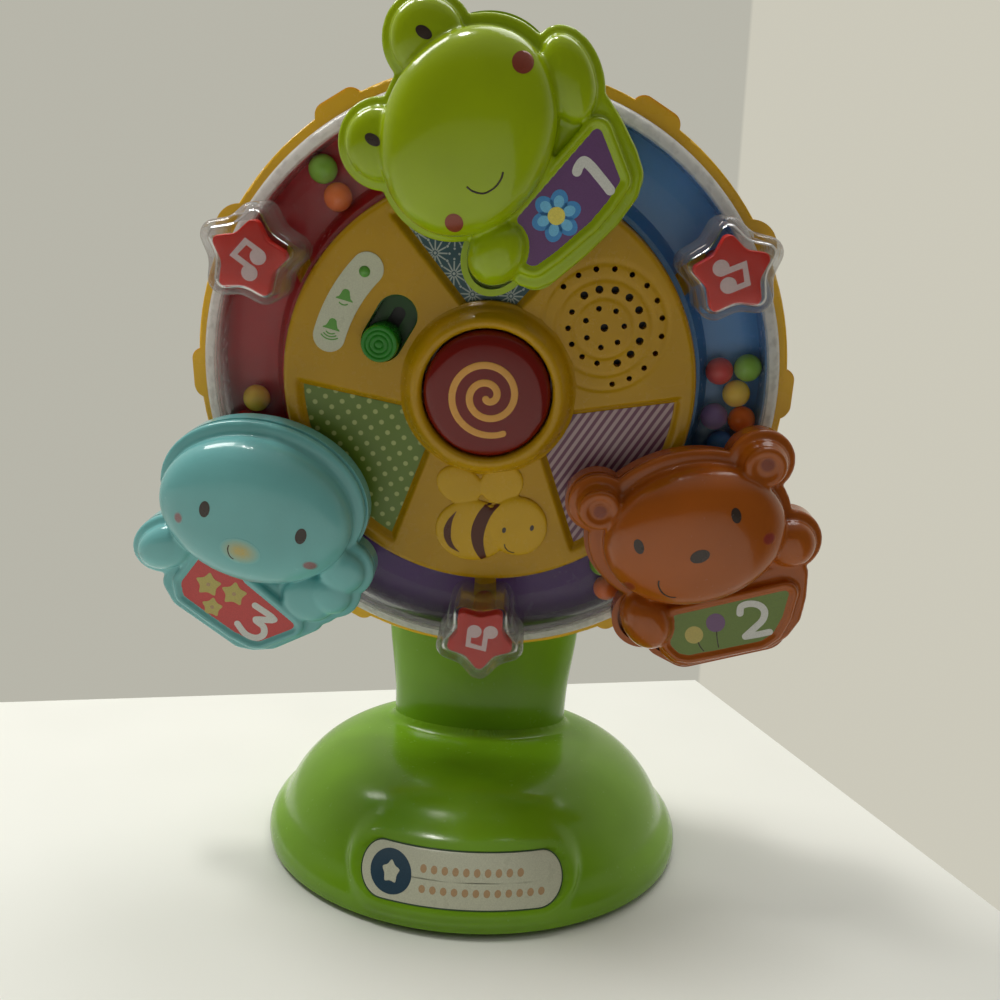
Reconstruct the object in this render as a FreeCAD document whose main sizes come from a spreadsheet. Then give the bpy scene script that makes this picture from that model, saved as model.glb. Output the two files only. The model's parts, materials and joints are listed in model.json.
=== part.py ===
import FreeCAD, Part
import math
import os
import Sketcher
from FreeCAD import Placement, Rotation, Vector

# Suction spinner toy: a leaning picture wheel on a dome stand, three swivelling animals, loose beads.
# Frame: origin at the centre of the suction cup on the floor, +Z up, the wheel faces -Y, sizes in mm.
# Wheel pieces are drawn flat first: X to the right, Y up the wheel, Z out of the wheel to the viewer.

os.makedirs("parts", exist_ok=True)
doc = FreeCAD.newDocument("SpinnerToy")
sheet = doc.addObject("Spreadsheet::Sheet", "Dims")

SIZES = [
    # stand dome
    ("base_r", 78.4, "radius of the dome at its foot"),
    ("base_lift", 2.0, "gap under the dome edge"),
    ("base_wall", 2.6, "wall of the dome"),
    ("skirt_top_r", 74.6, "radius where the skirt ends"),
    ("skirt_top_z", 12.0, "height where the skirt ends"),
    ("skirt_arc", 9.5, "bulge radius of the skirt"),
    ("crease_drop", 1.75, "width of the crease above the skirt"),
    ("dome_top_r", 40.0, "radius of the flat dome top"),
    ("dome_top_z", 37.0, "height of the flat dome top"),
    ("dome_arc", 35.7, "bulge radius of the dome"),
    ("neck_hole_r", 14.0, "hole in the dome top"),
    ("plate_thick", 2.4, "bottom plate thickness"),
    ("plate_z", 5.0, "underside of the bottom plate"),
    ("plate_gap", 0.6, "bottom plate to dome wall"),
    ("base_screw_r", 64.0, "screw circle of the bottom plate"),
    ("screw_head_r", 3.2, "screw head radius"),
    ("screw_head_h", 1.4, "screw head height"),
    ("screw_shank_r", 1.4, "screw shank radius"),
    ("screw_len", 7.0, "screw shank length"),
    ("boss_r", 4.0, "screw boss radius"),
    # suction cup
    ("cup_r", 60.0, "suction cup lip radius"),
    ("cup_wall", 1.8, "suction cup wall"),
    ("cup_rise", 2.4, "hollow under the cup"),
    ("cup_stem_r", 11.0, "moulded stud above the cup"),
    # label plate
    ("plaque_len", 65.0, "plaque length"),
    ("plaque_high", 14.2, "plaque height"),
    ("plaque_z", 17.2, "plaque centre height"),
    ("plaque_thick", 0.9, "label stands proud of its pad"),
    ("pad_border", 1.6, "pad round the label"),
    ("pad_low_r", 78.7, "pad radius at its lower edge"),
    ("pad_low_z", 7.6, "pad lower edge"),
    ("pad_high_r", 66.4, "pad radius at its upper edge"),
    ("pad_high_z", 26.4, "pad upper edge"),
    ("pad_arc", 40.0, "bulge radius of the pad"),
    # neck
    ("neck_wall", 2.6, "neck shell wall"),
    ("neck_mid", 16.2, "neck hole behind the stand centre"),
    ("neck_split", 0.4, "parting plane behind the neck's widest line"),
    ("neck_gap", 1.6, "neck to the back of the wheel"),
    ("neck_screw_r", 2.8, "neck screw head radius"),
    # wheel placing
    ("wheel_lean", 12.0, "forward lean of the wheel in degrees"),
    ("wheel_fwd", 48.4, "wheel face ahead of the stand centre"),
    ("wheel_high", 172.0, "wheel centre above the floor"),
    # axle
    ("axle_r", 6.0, "axle radius"),
    ("axle_play", 0.06, "running clearance on the axle"),
    ("end_play", 0.2, "end play of the wheel on the axle"),
    ("bush_wall", 3.0, "bush wall"),
    ("bush_front", 15.0, "front end of the bush behind the face"),
    ("hub_boss_wall", 3.0, "boss round the bush"),
    ("keeper_r", 9.0, "retaining washer radius"),
    ("keeper_t", 1.4, "retaining washer thickness"),
    ("axle_end", 16.0, "length of the axle inside the neck"),
    ("axle_boss", 3.4, "wall of the boss that holds the axle"),
    # back shell
    ("rim_r", 97.4, "outer radius of the yellow rim"),
    ("rim_front", 9.0, "rim front behind the face"),
    ("rim_band", 5.0, "depth of the rim band"),
    ("shell_wall", 2.4, "back shell wall"),
    ("floor_w", 16.6, "back shell floor behind the face"),
    ("shell_back_r", 92.5, "back of the tapering rim"),
    ("drum_r", 58.0, "radius of the rear drum"),
    ("drum_back", 38.4, "back of the drum behind the face"),
    ("rim_gap", 0.3, "cover to rim"),
    ("tab_root", 9.0, "tab root inside the rim"),
    ("tab_reach", 99.3, "reach of the grip tabs"),
    ("tab_wide", 16.6, "width of the grip tabs"),
    ("tab_round", 4.0, "corner rounding of the grip tabs"),
    ("tab_deep", 7.0, "depth of the grip tabs"),
    ("tab_ridge", 0.8, "height of the ridge on a tab"),
    ("knuckle_r", 8.5, "radius of the round lobes"),
    ("knuckle_at", 92.6, "centre radius of the round lobes"),
    # battery bay
    ("cell_r", 7.1, "battery radius"),
    ("cell_len", 50.0, "battery length"),
    ("cell_gap", 0.8, "gap between the batteries"),
    ("cell_y", 30.0, "battery centre below the axle"),
    ("door_wide", 60.0, "battery door width"),
    ("door_high", 34.0, "battery door height"),
    ("door_gap", 0.25, "battery door gap"),
    ("bay_wall", 1.4, "battery box wall"),
    # bead track
    ("track_in", 68.6, "inner lip radius of the bead track"),
    ("track_in_w", 6.4, "inner lip behind the face"),
    ("track_foot", 72.4, "inner radius of the track floor"),
    ("track_out", 89.6, "outer wall of the track"),
    ("track_out_w", 6.2, "outer lip behind the face"),
    ("track_wall", 1.6, "track wall"),
    ("track_gap", 3.4, "half gap between segments in degrees"),
    # clear cover
    ("cover_in", 67.4, "inner edge of the clear cover"),
    ("cover_in_w", 4.6, "inner edge behind the face"),
    ("cover_slope_r", 73.0, "top of the inner slope"),
    ("cover_slope_w", 0.4, "height of the inner slope top"),
    ("cover_crown", 24.0, "crown bulge radius"),
    ("cover_corner", 4.0, "outer corner bulge radius"),
    ("cover_shoulder_r", 91.0, "outer shoulder radius"),
    ("cover_shoulder_w", 2.2, "outer shoulder behind the face"),
    ("cover_out", 94.0, "outer radius of the cover"),
    ("cover_side_w", 6.0, "start of the side wall"),
    ("cover_foot_w", 13.0, "foot of the cover"),
    ("cover_wall", 1.8, "clear wall"),
    # clear stars and their red inserts
    ("ring_turn", 0.8, "stars and grip tabs off the panel's own angles in degrees"),
    ("star_at", 82.3, "star centre radius"),
    ("star_tip", 15.8, "clear star tip radius"),
    ("star_dip", 12.4, "clear star valley radius"),
    ("star_round", 5.0, "clear star corner rounding"),
    ("star_skirt", 8.5, "foot of the star overhang behind the face"),
    ("star_inner_w", 3.0, "foot of the star over the track"),
    ("star_top", 17.4, "clear star top above the face"),
    ("insert_tip", 11.5, "insert tip radius"),
    ("insert_dip", 7.9, "insert valley radius"),
    ("insert_round", 2.0, "insert corner rounding"),
    ("insert_gap", 0.4, "insert to the clear ceiling above it"),
    ("insert_thick", 4.0, "insert thickness"),
    ("insert_stem", 4.0, "insert stem radius"),
    # centre panel
    ("panel_r", 66.6, "panel radius"),
    ("panel_floor", 1.2, "sticker floor behind the face"),
    ("panel_thick", 2.2, "panel plate thickness"),
    ("panel_lip", 6.0, "width of the raised edge"),
    ("panel_rise", 1.6, "raised sectors above the face"),
    ("panel_fillet", 2.0, "rounding of the panel edge"),
    ("panel_skirt", 2.0, "panel skirt wall"),
    ("petal_root", 18.0, "petal start"),
    ("petal_root_half", 18.6, "petal half width at its start"),
    ("petal_end", 62.0, "petal end"),
    ("petal_end_half", 34.6, "petal half width at its end"),
    ("sticker_thick", 0.3, "sticker thickness"),
    ("sticker_gap", 0.4, "sticker edge gap"),
    ("hub_in", 20.8, "inner radius of the button ring"),
    ("hub_out", 27.4, "foot of the button ring"),
    ("hub_crest", 22.6, "crest radius of the button ring"),
    ("hub_top", 8.4, "crest height of the button ring"),
    ("hub_crest_half", 0.9, "half width of the crest"),
    # speaker
    ("speaker_at", 41.9, "speaker centre radius"),
    ("speaker_turn", 31.6, "speaker direction on the panel in degrees"),
    ("speaker_r", 17.5, "speaker frame radius"),
    ("speaker_deep", 10.0, "speaker depth"),
    ("speaker_flange", 2.0, "speaker flange thickness"),
    ("hole_small", 0.9, "small sound hole radius"),
    ("hole_large", 1.25, "large sound hole radius"),
    # volume slider
    ("slot_at", 36.8, "slot centre radius"),
    ("slot_r", 6.6, "slot half width"),
    ("slot_travel", 9.6, "slider travel"),
    ("knob_r", 5.9, "slider knob radius"),
    ("knob_top", 7.2, "slider knob top above the face"),
    ("knob_seat", 0.3, "knob above the slot plate"),
    ("knob_stem", 1.8, "slider stem radius"),
    ("slit_play", 0.3, "slit play round the stem"),
    ("slot_plate_t", 1.2, "slot plate thickness"),
    ("slot_plate_lip", 1.6, "slot plate lip under the panel"),
    ("switch_len", 19.0, "switch body length"),
    ("switch_wide", 7.0, "switch body width"),
    ("switch_deep", 5.0, "switch body depth"),
    ("scale_at", 53.2, "volume label centre radius"),
    ("scale_half", 5.1, "volume label half width"),
    ("scale_span", 13.4, "volume label half span in degrees"),
    ("scale_thick", 0.3, "volume label thickness"),
    # light button
    ("button_r", 20.3, "button radius"),
    ("button_top", 9.4, "button crown above the face"),
    ("button_edge", 8.4, "button edge above the face"),
    ("button_lip", 22.4, "retaining lip of the button, radius"),
    ("button_lip_t", 1.6, "retaining lip thickness"),
    ("button_travel", 1.8, "button travel"),
    ("button_stem", 3.4, "button stem radius"),
    ("button_wall", 1.8, "button wall"),
    ("board_r", 27.0, "circuit board radius"),
    ("board_t", 1.6, "circuit board thickness"),
    ("board_w", 9.6, "circuit board back behind the face"),
    ("post_r", 1.8, "board post radius"),
    ("post_at", 24.9, "board post circle"),
    ("key_r", 3.0, "contact switch radius"),
    ("key_h", 2.4, "contact switch height"),
    ("led_r", 2.5, "lamp radius"),
    ("led_h", 4.0, "lamp height"),
    ("led_at", 12.0, "lamp circle radius"),
    # bee relief
    ("bee_rise", 1.4, "bee relief height"),
    ("bee_head_x", 9.6, "bee head centre across"),
    ("bee_head_y", -48.3, "bee head centre up"),
    ("bee_head_r", 8.9, "bee head radius"),
    ("bee_body_x", -4.8, "bee body centre across"),
    ("bee_body_y", -47.8, "bee body centre up"),
    ("bee_body_rx", 12.2, "bee body half length"),
    ("bee_body_ry", 9.6, "bee body half height"),
    ("bee_wing_x", -1.3, "bee wings centre across"),
    ("bee_wing_y", -33.0, "bee wing centre up"),
    ("bee_wing_rx", 6.4, "bee wing half length"),
    ("bee_wing_ry", 5.4, "bee wing half width"),
    ("bee_wing_gap", 7.6, "bee wings apart, half"),
    # animal pivots
    ("pivot_at", 80.0, "pivot circle radius"),
    ("pivot_r", 4.0, "pivot pin radius"),
    ("pivot_play", 0.05, "running clearance on a pivot"),
    ("pivot_collar_r", 7.0, "spacer collar radius"),
    ("pivot_head_r", 6.6, "pivot head radius"),
    ("pivot_head_t", 1.6, "pivot head thickness"),
    # animal shells
    ("critter_back", 5.2, "back of an animal above the face"),
    ("critter_split", 11.0, "split line of the animal shells"),
    ("critter_flange", 14.6, "front of the outline flange"),
    ("critter_margin", 2.7, "flange width round the raised parts"),
    ("critter_wall", 2.0, "animal shell wall"),
    ("head_side", 3.0, "straight side of the head"),
    ("head_dome", 12.6, "crown of the head"),
    ("lobe_dome", 6.4, "crown of ears, arms and wings"),
    ("sign_rise", 3.0, "sign frame above the flange"),
    ("sign_round", 4.6, "sign corner rounding"),
    ("sign_edge", 2.6, "sign frame width"),
    ("sign_sink", 0.7, "sign print below its frame"),
    ("sign_thick", 0.4, "sign print thickness"),
    # beads
    ("bead_r", 4.5, "bead radius"),
    ("bead_play", 0.3, "bead to the walls of its track"),
    ("bead_inset", 1.3, "bead reaches over the inner slope of the track"),
]

# neck sections: height, front, rear, half width
NECK = [
    (34.0, -5.5, 38.0, 34.4),
    (46.0, -5.2, 37.2, 34.8),
    (57.0, -4.2, 35.8, 35.9),
    (66.0, -2.8, 34.4, 37.1),
    (75.0, -1.4, 32.8, 38.0),
    (86.0, 0.4, 31.0, 38.4),
    (104.0, 3.2, 28.6, 38.0),
]
# upper neck sections run parallel to the wheel back: height, rear, half width
NECK_UP = [
    (125.0, 26.6, 36.8),
    (144.0, 23.6, 34.2),
    (164.0, 18.6, 30.4),
    (182.0, 12.0, 25.2),
    (196.0, 4.0, 18.0),
    (204.0, -4.0, 10.0),
]

# loose beads: place across the track from 0 inside to 1 outside, and angle round the wheel
BEADS = {
    "beads_upper_left": [(1.0, 130.0), (0.0, 131.3)],
    "beads_lower_left": [(0.4, 186.7), (1.0, 192.4), (0.0, 195.6), (0.5, 203.6)],
    "beads_right": [
        (0.0, 6.0),
        (1.0, 6.4),
        (0.65, 0.5),
        (0.0, -5.6),
        (1.0, -5.4),
        (0.5, -12.0),
        (0.0, -17.8),
        (1.0, -18.1),
        (0.5, -23.6),
    ],
    "beads_bottom": [(1.0, -58.4), (0.0, -56.0)],
}

# sound holes about the speaker centre: ring radius, start angle, step, count, large or small
HOLES = [
    (18.1, 138.4, -18.0, 13, 0),
    (11.9, 125.8, -23.9, 9, 1),
    (11.3, 157.1, 26.4, 5, 0),
    (6.2, 316.0, 51.4, 7, 0),
]

# animals: lobes as centre, half sizes, turn and crown share; sign corners run round from top left
CRITTERS = {
    "frog": {
        "seat": 90.0,
        "turn": 63.0,
        "head": (-5.5, 5.5, 28.9, 22.0),
        "lobes": [
            (-21.3, 25.2, 10.0, 10.0, 0.0, 0.8),
            (8.9, 26.3, 10.2, 10.2, 0.0, 0.8),
            (18.5, -9.8, 8.2, 8.4, 0.0, 0.8),
            (-31.4, -18.2, 10.4, 7.8, 0.0, 1.05),
        ],
        "sign": [(-31.0, -14.0), (20.0, -22.0), (6.2, -42.9), (-34.0, -33.0)],
    },
    "bird": {
        "seat": 210.0,
        "turn": -13.0,
        "head": (-2.2, 2.6, 31.4, 23.3),
        "lobes": [
            (-29.6, -21.6, 10.4, 7.4, 38.0, 0.9),
            (28.0, -14.4, 7.6, 7.6, 0.0, 0.7),
            (25.6, -23.6, 7.0, 6.6, 0.0, 0.7),
            (17.0, -26.0, 9.6, 9.0, 0.0, 0.6),
        ],
        "sign": [(-26.0, -21.6), (-4.0, -22.0), (22.4, -36.6), (5.4, -49.4), (-27.6, -37.6)],
    },
    "bear": {
        "seat": 330.0,
        "turn": 18.0,
        "head": (-3.3, 2.0, 29.8, 22.4),
        "lobes": [
            (-28.2, 17.2, 7.6, 7.6, 0.0, 0.8),
            (24.0, 17.2, 7.8, 7.8, 0.0, 0.8),
            (28.6, -10.8, 7.4, 7.4, 0.0, 0.9),
            (-22.4, -26.8, 8.4, 8.8, -30.0, 1.05),
        ],
        "sign": [(-18.0, -21.0), (29.6, -20.0), (26.6, -36.0), (17.0, -46.2), (-13.6, -46.2), (-22.0, -38.0)],
    },
}

row = 0
for name, size, note in SIZES:
    row += 1
    sheet.set("A%d" % row, name)
    sheet.set("B%d" % row, repr(size))
    sheet.setAlias("B%d" % row, name)
    sheet.set("C%d" % row, note)
doc.recompute()


def val(name):
    return float(sheet.get(name))


NAMES = [item[0] for item in SIZES]


def bound(text):
    words = []
    token = ""
    for ch in text + " ":
        if ch.isalnum() or ch == "_":
            token += ch
            continue
        words.append("Dims." + token if token in NAMES else token)
        token = ""
        words.append(ch)
    return "".join(words).strip()


def num(text):
    if isinstance(text, (int, float)):
        return float(text)
    return float(sheet.evalExpression(bound(text)))


def vec(x, y, z=0.0):
    return Vector(x, y, z)


# wheel frame: turn the flat drawing upright, lean it forward and lift it to the axle height
WHEEL = Placement(vec(0, -val("wheel_fwd"), val("wheel_high")), Rotation(vec(1, 0, 0), 90 + val("wheel_lean")))
NODES = []


def keep(obj, label, wheel=True, place=None):
    obj.Label = label
    if place is not None:
        obj.Placement = place.multiply(obj.Placement)
    elif wheel:
        obj.Placement = WHEEL.multiply(obj.Placement)
    NODES.append((label, obj))
    return obj


def cylinder(name, radius, height, at=(0, 0, 0)):
    obj = doc.addObject("Part::Cylinder", name)
    obj.setExpression("Radius", bound(radius))
    obj.setExpression("Height", bound(height))
    place(obj, at)
    return obj


def box(name, size, at=(0, 0, 0), turn=0.0):
    obj = doc.addObject("Part::Box", name)
    obj.setExpression("Length", bound(size[0]))
    obj.setExpression("Width", bound(size[1]))
    obj.setExpression("Height", bound(size[2]))
    place(obj, at, turn)
    return obj


def place(obj, at, turn=0.0):
    spot = Rotation(vec(0, 0, 1), turn).multVec(vec(num(at[0]), num(at[1]), num(at[2])))
    obj.Placement = Placement(spot, Rotation(vec(0, 0, 1), turn))


def fuse(name, parts):
    obj = doc.addObject("Part::MultiFuse", name)
    obj.Shapes = parts
    obj.Refine = True
    return obj


def cut(name, base, tools):
    obj = doc.addObject("Part::Cut", name)
    obj.Base = base
    obj.Tool = tools[0] if len(tools) == 1 else fuse(name + "_tools", tools)
    return obj


def fixed(name, shape):
    obj = doc.addObject("Part::Feature", name)
    obj.Shape = shape
    return obj


def origin_plane(body, role):
    return [part for part in body.Origin.OriginFeatures if part.Role == role][0]


def profile(body, name, points, arcs, role="XZ_Plane"):
    sketch = body.newObject("Sketcher::SketchObject", name)
    sketch.AttachmentSupport = [(origin_plane(body, role), "")]
    sketch.MapMode = "FlatFace"
    spots = [(num(x), num(y)) for x, y in points]
    count = len(points)
    ends = []
    for i in range(count):
        a = vec(*spots[i])
        b = vec(*spots[(i + 1) % count])
        if i in arcs:
            radius, side = num(arcs[i][0]), arcs[i][1]
            chord = b - a
            half = chord.Length / 2
            sag = radius - math.sqrt(max(radius * radius - half * half, 0.0))
            left = vec(-chord.y, chord.x) / chord.Length
            mid = (a + b) / 2 + left * (side * sag)
            if side < 0:
                index = sketch.addGeometry(Part.Arc(a, mid, b), False)
                ends.append((index, 1, 2))
            else:
                index = sketch.addGeometry(Part.Arc(b, mid, a), False)
                ends.append((index, 2, 1))
            mark = sketch.addConstraint(Sketcher.Constraint("Radius", index, radius))
            sketch.setExpression("Constraints[%d]" % mark, bound(str(arcs[i][0])))
        else:
            index = sketch.addGeometry(Part.LineSegment(a, b), False)
            ends.append((index, 1, 2))
    for i in range(count):
        nxt = (i + 1) % count
        sketch.addConstraint(Sketcher.Constraint("Coincident", ends[i][0], ends[i][2], ends[nxt][0], ends[nxt][1]))
    for i in range(count):
        for kind, k in (("DistanceX", 0), ("DistanceY", 1)):
            mark = sketch.addConstraint(Sketcher.Constraint(kind, -1, 1, ends[i][0], ends[i][1], spots[i][k]))
            sketch.setExpression("Constraints[%d]" % mark, bound(str(points[i][k])))
    return sketch


def turned(name, points, arcs=None, angle=360.0, role="XZ_Plane"):
    body = doc.addObject("PartDesign::Body", name)
    sketch = profile(body, name + "_profile", points, arcs or {}, role)
    spin = body.newObject("PartDesign::Revolution", name + "_turn")
    spin.Profile = sketch
    spin.ReferenceAxis = (sketch, ["V_Axis"])
    spin.Angle = angle
    body.Tip = spin
    doc.recompute()
    return body


def padded(name, points, height, arcs=None, lift="0"):
    body = doc.addObject("PartDesign::Body", name)
    sketch = profile(body, name + "_outline", points, arcs or {}, "XY_Plane")
    pad = body.newObject("PartDesign::Pad", name + "_pad")
    pad.Profile = sketch
    pad.setExpression("Length", bound(height))
    body.Tip = pad
    body.Placement = Placement(vec(0, 0, num(lift)), Rotation())
    doc.recompute()
    return body


def slab(face, low, high):
    shape = face.copy()
    shape.translate(vec(0, 0, low))
    return shape.extrude(vec(0, 0, high - low))


def ellipse_face(cx, cy, rx, ry, turn=0.0):
    if rx >= ry:
        curve = Part.Ellipse(vec(0, 0), rx, ry)
        extra = 0.0
    else:
        curve = Part.Ellipse(vec(0, 0), ry, rx)
        extra = 90.0
    face = Part.Face(Part.Wire([curve.toShape()]))
    face.Placement = Placement(vec(cx, cy), Rotation(vec(0, 0, 1), turn + extra))
    return face


def ellipsoid(cx, cy, cz, rx, ry, rz, turn=0.0):
    ball = Part.makeSphere(1.0)
    grow = FreeCAD.Matrix()
    grow.scale(rx, ry, rz)
    shape = ball.transformGeometry(grow)
    shape.Placement = Placement(vec(cx, cy, cz), Rotation(vec(0, 0, 1), turn))
    return shape


def rounded_face(corners, radius, grow=0.0):
    wire = Part.makePolygon([vec(x, y) for x, y in corners] + [vec(*corners[0])])
    inner = wire.makeOffset2D(-radius)
    outer = inner.makeOffset2D(radius + grow)
    return Part.Face(outer)


def star_face(tip, dip, radius, cx, cy, aim):
    corners = []
    for k in range(10):
        reach = tip - radius if k % 2 == 0 else dip - radius
        angle = math.radians(aim + 36 * k)
        corners.append(vec(cx + reach * math.cos(angle), cy + reach * math.sin(angle)))
    wire = Part.makePolygon(corners + [corners[0]])
    return Part.Face(wire.makeOffset2D(radius))


def polar(radius, angle):
    return (radius * math.cos(math.radians(angle)), radius * math.sin(math.radians(angle)))


def round_edges(body, name, spots, radius):
    doc.recompute()
    shape = body.Tip.Shape
    names = []
    for x, z in spots:
        for i, edge in enumerate(shape.Edges):
            curve = edge.Curve
            if not isinstance(curve, Part.Circle):
                continue
            if abs(curve.Radius - num(x)) < 1e-4 and abs(curve.Center.z - num(z)) < 1e-4:
                names.append("Edge%d" % (i + 1))
    tip = body.Tip
    soft = body.newObject("PartDesign::Fillet", name)
    soft.Base = (tip, names)
    soft.setExpression("Radius", bound(radius))
    body.Tip = soft
    doc.recompute()


# ---- stand ----
DOME = [
    ("base_r", "base_lift"),
    ("skirt_top_r", "skirt_top_z"),
    ("skirt_top_r - crease_drop", "skirt_top_z + crease_drop"),
    ("dome_top_r", "dome_top_z"),
]
DOME_IN = [
    ("0", "dome_top_z"),
    ("0", "dome_top_z - base_wall"),
    ("dome_top_r", "dome_top_z - base_wall"),
    ("skirt_top_r - crease_drop - base_wall", "skirt_top_z + crease_drop - base_wall / 2"),
    ("skirt_top_r - base_wall", "skirt_top_z - base_wall / 2"),
    ("base_r - base_wall", "base_lift"),
]
DOME_ARCS = {
    0: ("skirt_arc", -1),
    2: ("dome_arc", -1),
    6: ("dome_arc - base_wall", 1),
    8: ("skirt_arc - base_wall", 1),
}
dome = turned("DomeTurned", DOME + DOME_IN, DOME_ARCS)


def spun_face(points, arcs):
    edges = []
    spots = [vec(num(x), 0, num(z)) for x, z in points]
    for i in range(len(spots)):
        a = spots[i]
        b = spots[(i + 1) % len(spots)]
        if i in arcs:
            radius = num(arcs[i][0])
            chord = b - a
            sag = radius - math.sqrt(max(radius * radius - chord.Length * chord.Length / 4, 0.0))
            left = vec(-chord.z, 0, chord.x) / chord.Length
            edges.append(Part.Arc(a, (a + b) / 2 + left * (sag * arcs[i][1]), b).toShape())
        else:
            edges.append(Part.LineSegment(a, b).toShape())
    return Part.Face(Part.Wire(edges))


def full_dome(extra):
    grow = " + %r" % extra
    points = [(x + grow, z + (grow if k else "")) for k, (x, z) in enumerate(DOME)]
    points += [("0", DOME[3][1] + grow), ("0", "base_lift")]
    arcs = {0: ("skirt_arc" + grow, -1), 2: ("dome_arc" + grow, -1)}
    return spun_face(points, arcs).revolve(vec(0, 0, 0), vec(0, 0, 1), 360)


def pad_solid(extra):
    grow = " + %r" % extra
    points = [("pad_low_r" + grow, "pad_low_z"), ("pad_high_r" + grow, "pad_high_z"), ("0", "pad_high_z"), ("0", "pad_low_z")]
    return spun_face(points, {0: ("pad_arc" + grow, -1)}).revolve(vec(0, 0, 0), vec(0, 0, 1), 360)


def label_tool(grow):
    half_len = val("plaque_len") / 2 - val("plaque_high") / 2
    half_high = val("plaque_high") / 2 + grow
    ahead = -val("base_r") - 5
    shape = Part.makeBox(2 * half_len, 40, 2 * half_high, vec(-half_len, ahead, val("plaque_z") - half_high))
    for end in (-half_len, half_len):
        shape = shape.fuse(Part.makeCylinder(half_high, 40, vec(end, ahead, val("plaque_z")), vec(0, 1, 0)))
    return shape.removeSplitter()


pad = label_tool(val("pad_border")).common(pad_solid(0.0)).cut(full_dome(-val("base_wall") / 3))
plate_top = "plate_z + plate_thick"
bosses = []
holes = []
plate_holes = []
screws = []
for k in range(4):
    spot = polar(val("base_screw_r"), 45 + 90 * k)
    bosses.append(cylinder("DomeBoss%d" % k, "boss_r", "skirt_top_z - base_wall / 2", (spot[0], spot[1], plate_top)))
    holes.append(cylinder("DomePilot%d" % k, "screw_shank_r", "screw_len", (spot[0], spot[1], plate_top)))
    plate_holes.append(cylinder("PlateHole%d" % k, "screw_shank_r", "plate_thick", (spot[0], spot[1], "plate_z")))
    head_at = (spot[0], spot[1], "plate_z - screw_head_h")
    screws.append(cylinder("BaseHead%d" % k, "screw_head_r", "screw_head_h", head_at))
    screws.append(cylinder("BaseShank%d" % k, "screw_shank_r", "screw_len", (spot[0], spot[1], "plate_z")))
holes.append(cylinder("NeckHole", "neck_hole_r", "base_wall * 3", (0, "neck_mid", "dome_top_z - base_wall * 2")))
shell_parts = [dome, fixed("LabelPad", pad.Solids[0])] + bosses
keep(cut("BaseShell", fuse("DomeBossed", shell_parts), holes), "base_shell", wheel=False)
plate = cylinder("PlateDisc", "base_r - base_wall - plate_gap", "plate_thick", (0, 0, "plate_z"))
keep(cut("BasePlate", plate, plate_holes), "base_plate", wheel=False)
keep(fuse("BaseScrews", screws), "base_screws", wheel=False)
CUP = [
    ("0", "cup_rise"),
    ("cup_r - cup_wall", "0"),
    ("cup_r", "0"),
    ("cup_r", "cup_wall / 2"),
    ("cup_stem_r", "cup_rise + cup_wall"),
    ("cup_stem_r", "plate_z"),
    ("0", "plate_z"),
]
keep(turned("SuctionCup", CUP), "suction_cup", wheel=False)


plaque = label_tool(0.0).common(pad_solid(val("plaque_thick"))).cut(pad_solid(0.0))
keep(fixed("Plaque", plaque.Solids[0]), "label_plate", wheel=False)

# ---- neck ----
lean = math.radians(val("wheel_lean"))


def wheel_back_y(height, depth):
    return -val("wheel_fwd") + (depth - (height - val("wheel_high")) * math.sin(lean)) / math.cos(lean)


stops = [(z + val("dome_top_z") - 34.0, front, rear, half) for z, front, rear, half in NECK]
behind = val("drum_back") + val("neck_gap")
stops += [(z, wheel_back_y(z, behind), rear, half) for z, rear, half in NECK_UP]


def neck_solid(inset, count):
    wires = []
    for z, front, rear, half in stops[:count]:
        face = ellipse_face(0, (front + rear) / 2, half - inset, (rear - front) / 2 - inset)
        face.translate(vec(0, 0, z))
        wires.append(face.OuterWire)
    return Part.makeLoft(wires, True, False)


neck_out = neck_solid(0.0, len(stops))
neck_in = neck_solid(val("neck_wall"), len(stops) - 1)
neck_shell = neck_out.cut(neck_in)
low_z = stops[0][0] - 5
high_z = stops[-1][0] + 5
middle = [(vec(-70, (front + rear) / 2 + val("neck_split"), z)) for z, front, rear, half in stops]
middle = [vec(-70, middle[0].y, low_z)] + middle + [vec(-70, middle[-1].y, high_z)]
ring = [vec(-70, -90, low_z)] + middle + [vec(-70, -90, high_z)]
front_side = Part.Face(Part.makePolygon(ring + [ring[0]])).extrude(vec(140, 0, 0))


def in_wheel(shape):
    done = shape.copy()
    done.Placement = WHEEL.multiply(done.Placement)
    return done


axle_back = behind + val("axle_end")
boss_out = Part.makeCylinder(val("axle_r") + val("axle_boss"), axle_back + 10 - behind, vec(0, 0, -axle_back - 10))
axle_hole = Part.makeCylinder(val("axle_r"), axle_back, vec(0, 0, -axle_back))
seat_r = val("axle_r") + val("bush_wall") + val("rim_gap")
spacer_seat = Part.makeCylinder(seat_r, val("neck_gap") * 2, vec(0, 0, -behind))
neck_front = neck_shell.common(front_side).cut([in_wheel(axle_hole), in_wheel(spacer_seat)])
boss = in_wheel(boss_out).common(neck_out).cut(front_side)
neck_rear = neck_shell.cut(front_side).fuse(boss).cut([in_wheel(axle_hole), in_wheel(spacer_seat)])
bolts = []
for k in (1, 5, 8):
    z, front, rear, half = stops[k]
    bolt = Part.makeCylinder(val("neck_screw_r"), val("neck_wall"), vec(0, rear - val("neck_wall") - 0.6, z), vec(0, 1, 0))
    neck_rear = neck_rear.cut(Part.makeCylinder(val("neck_screw_r"), 12, vec(0, rear - val("neck_wall") - 0.6, z), vec(0, 1, 0)))
    bolts.append(bolt)
keep(fixed("NeckFront", neck_front.Solids[0] if len(neck_front.Solids) == 1 else neck_front), "neck_front", wheel=False)
keep(fixed("NeckRear", neck_rear.Solids[0] if len(neck_rear.Solids) == 1 else neck_rear), "neck_rear", wheel=False)
keep(fixed("NeckScrews", Part.makeCompound(bolts)), "neck_screws", wheel=False)

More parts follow.
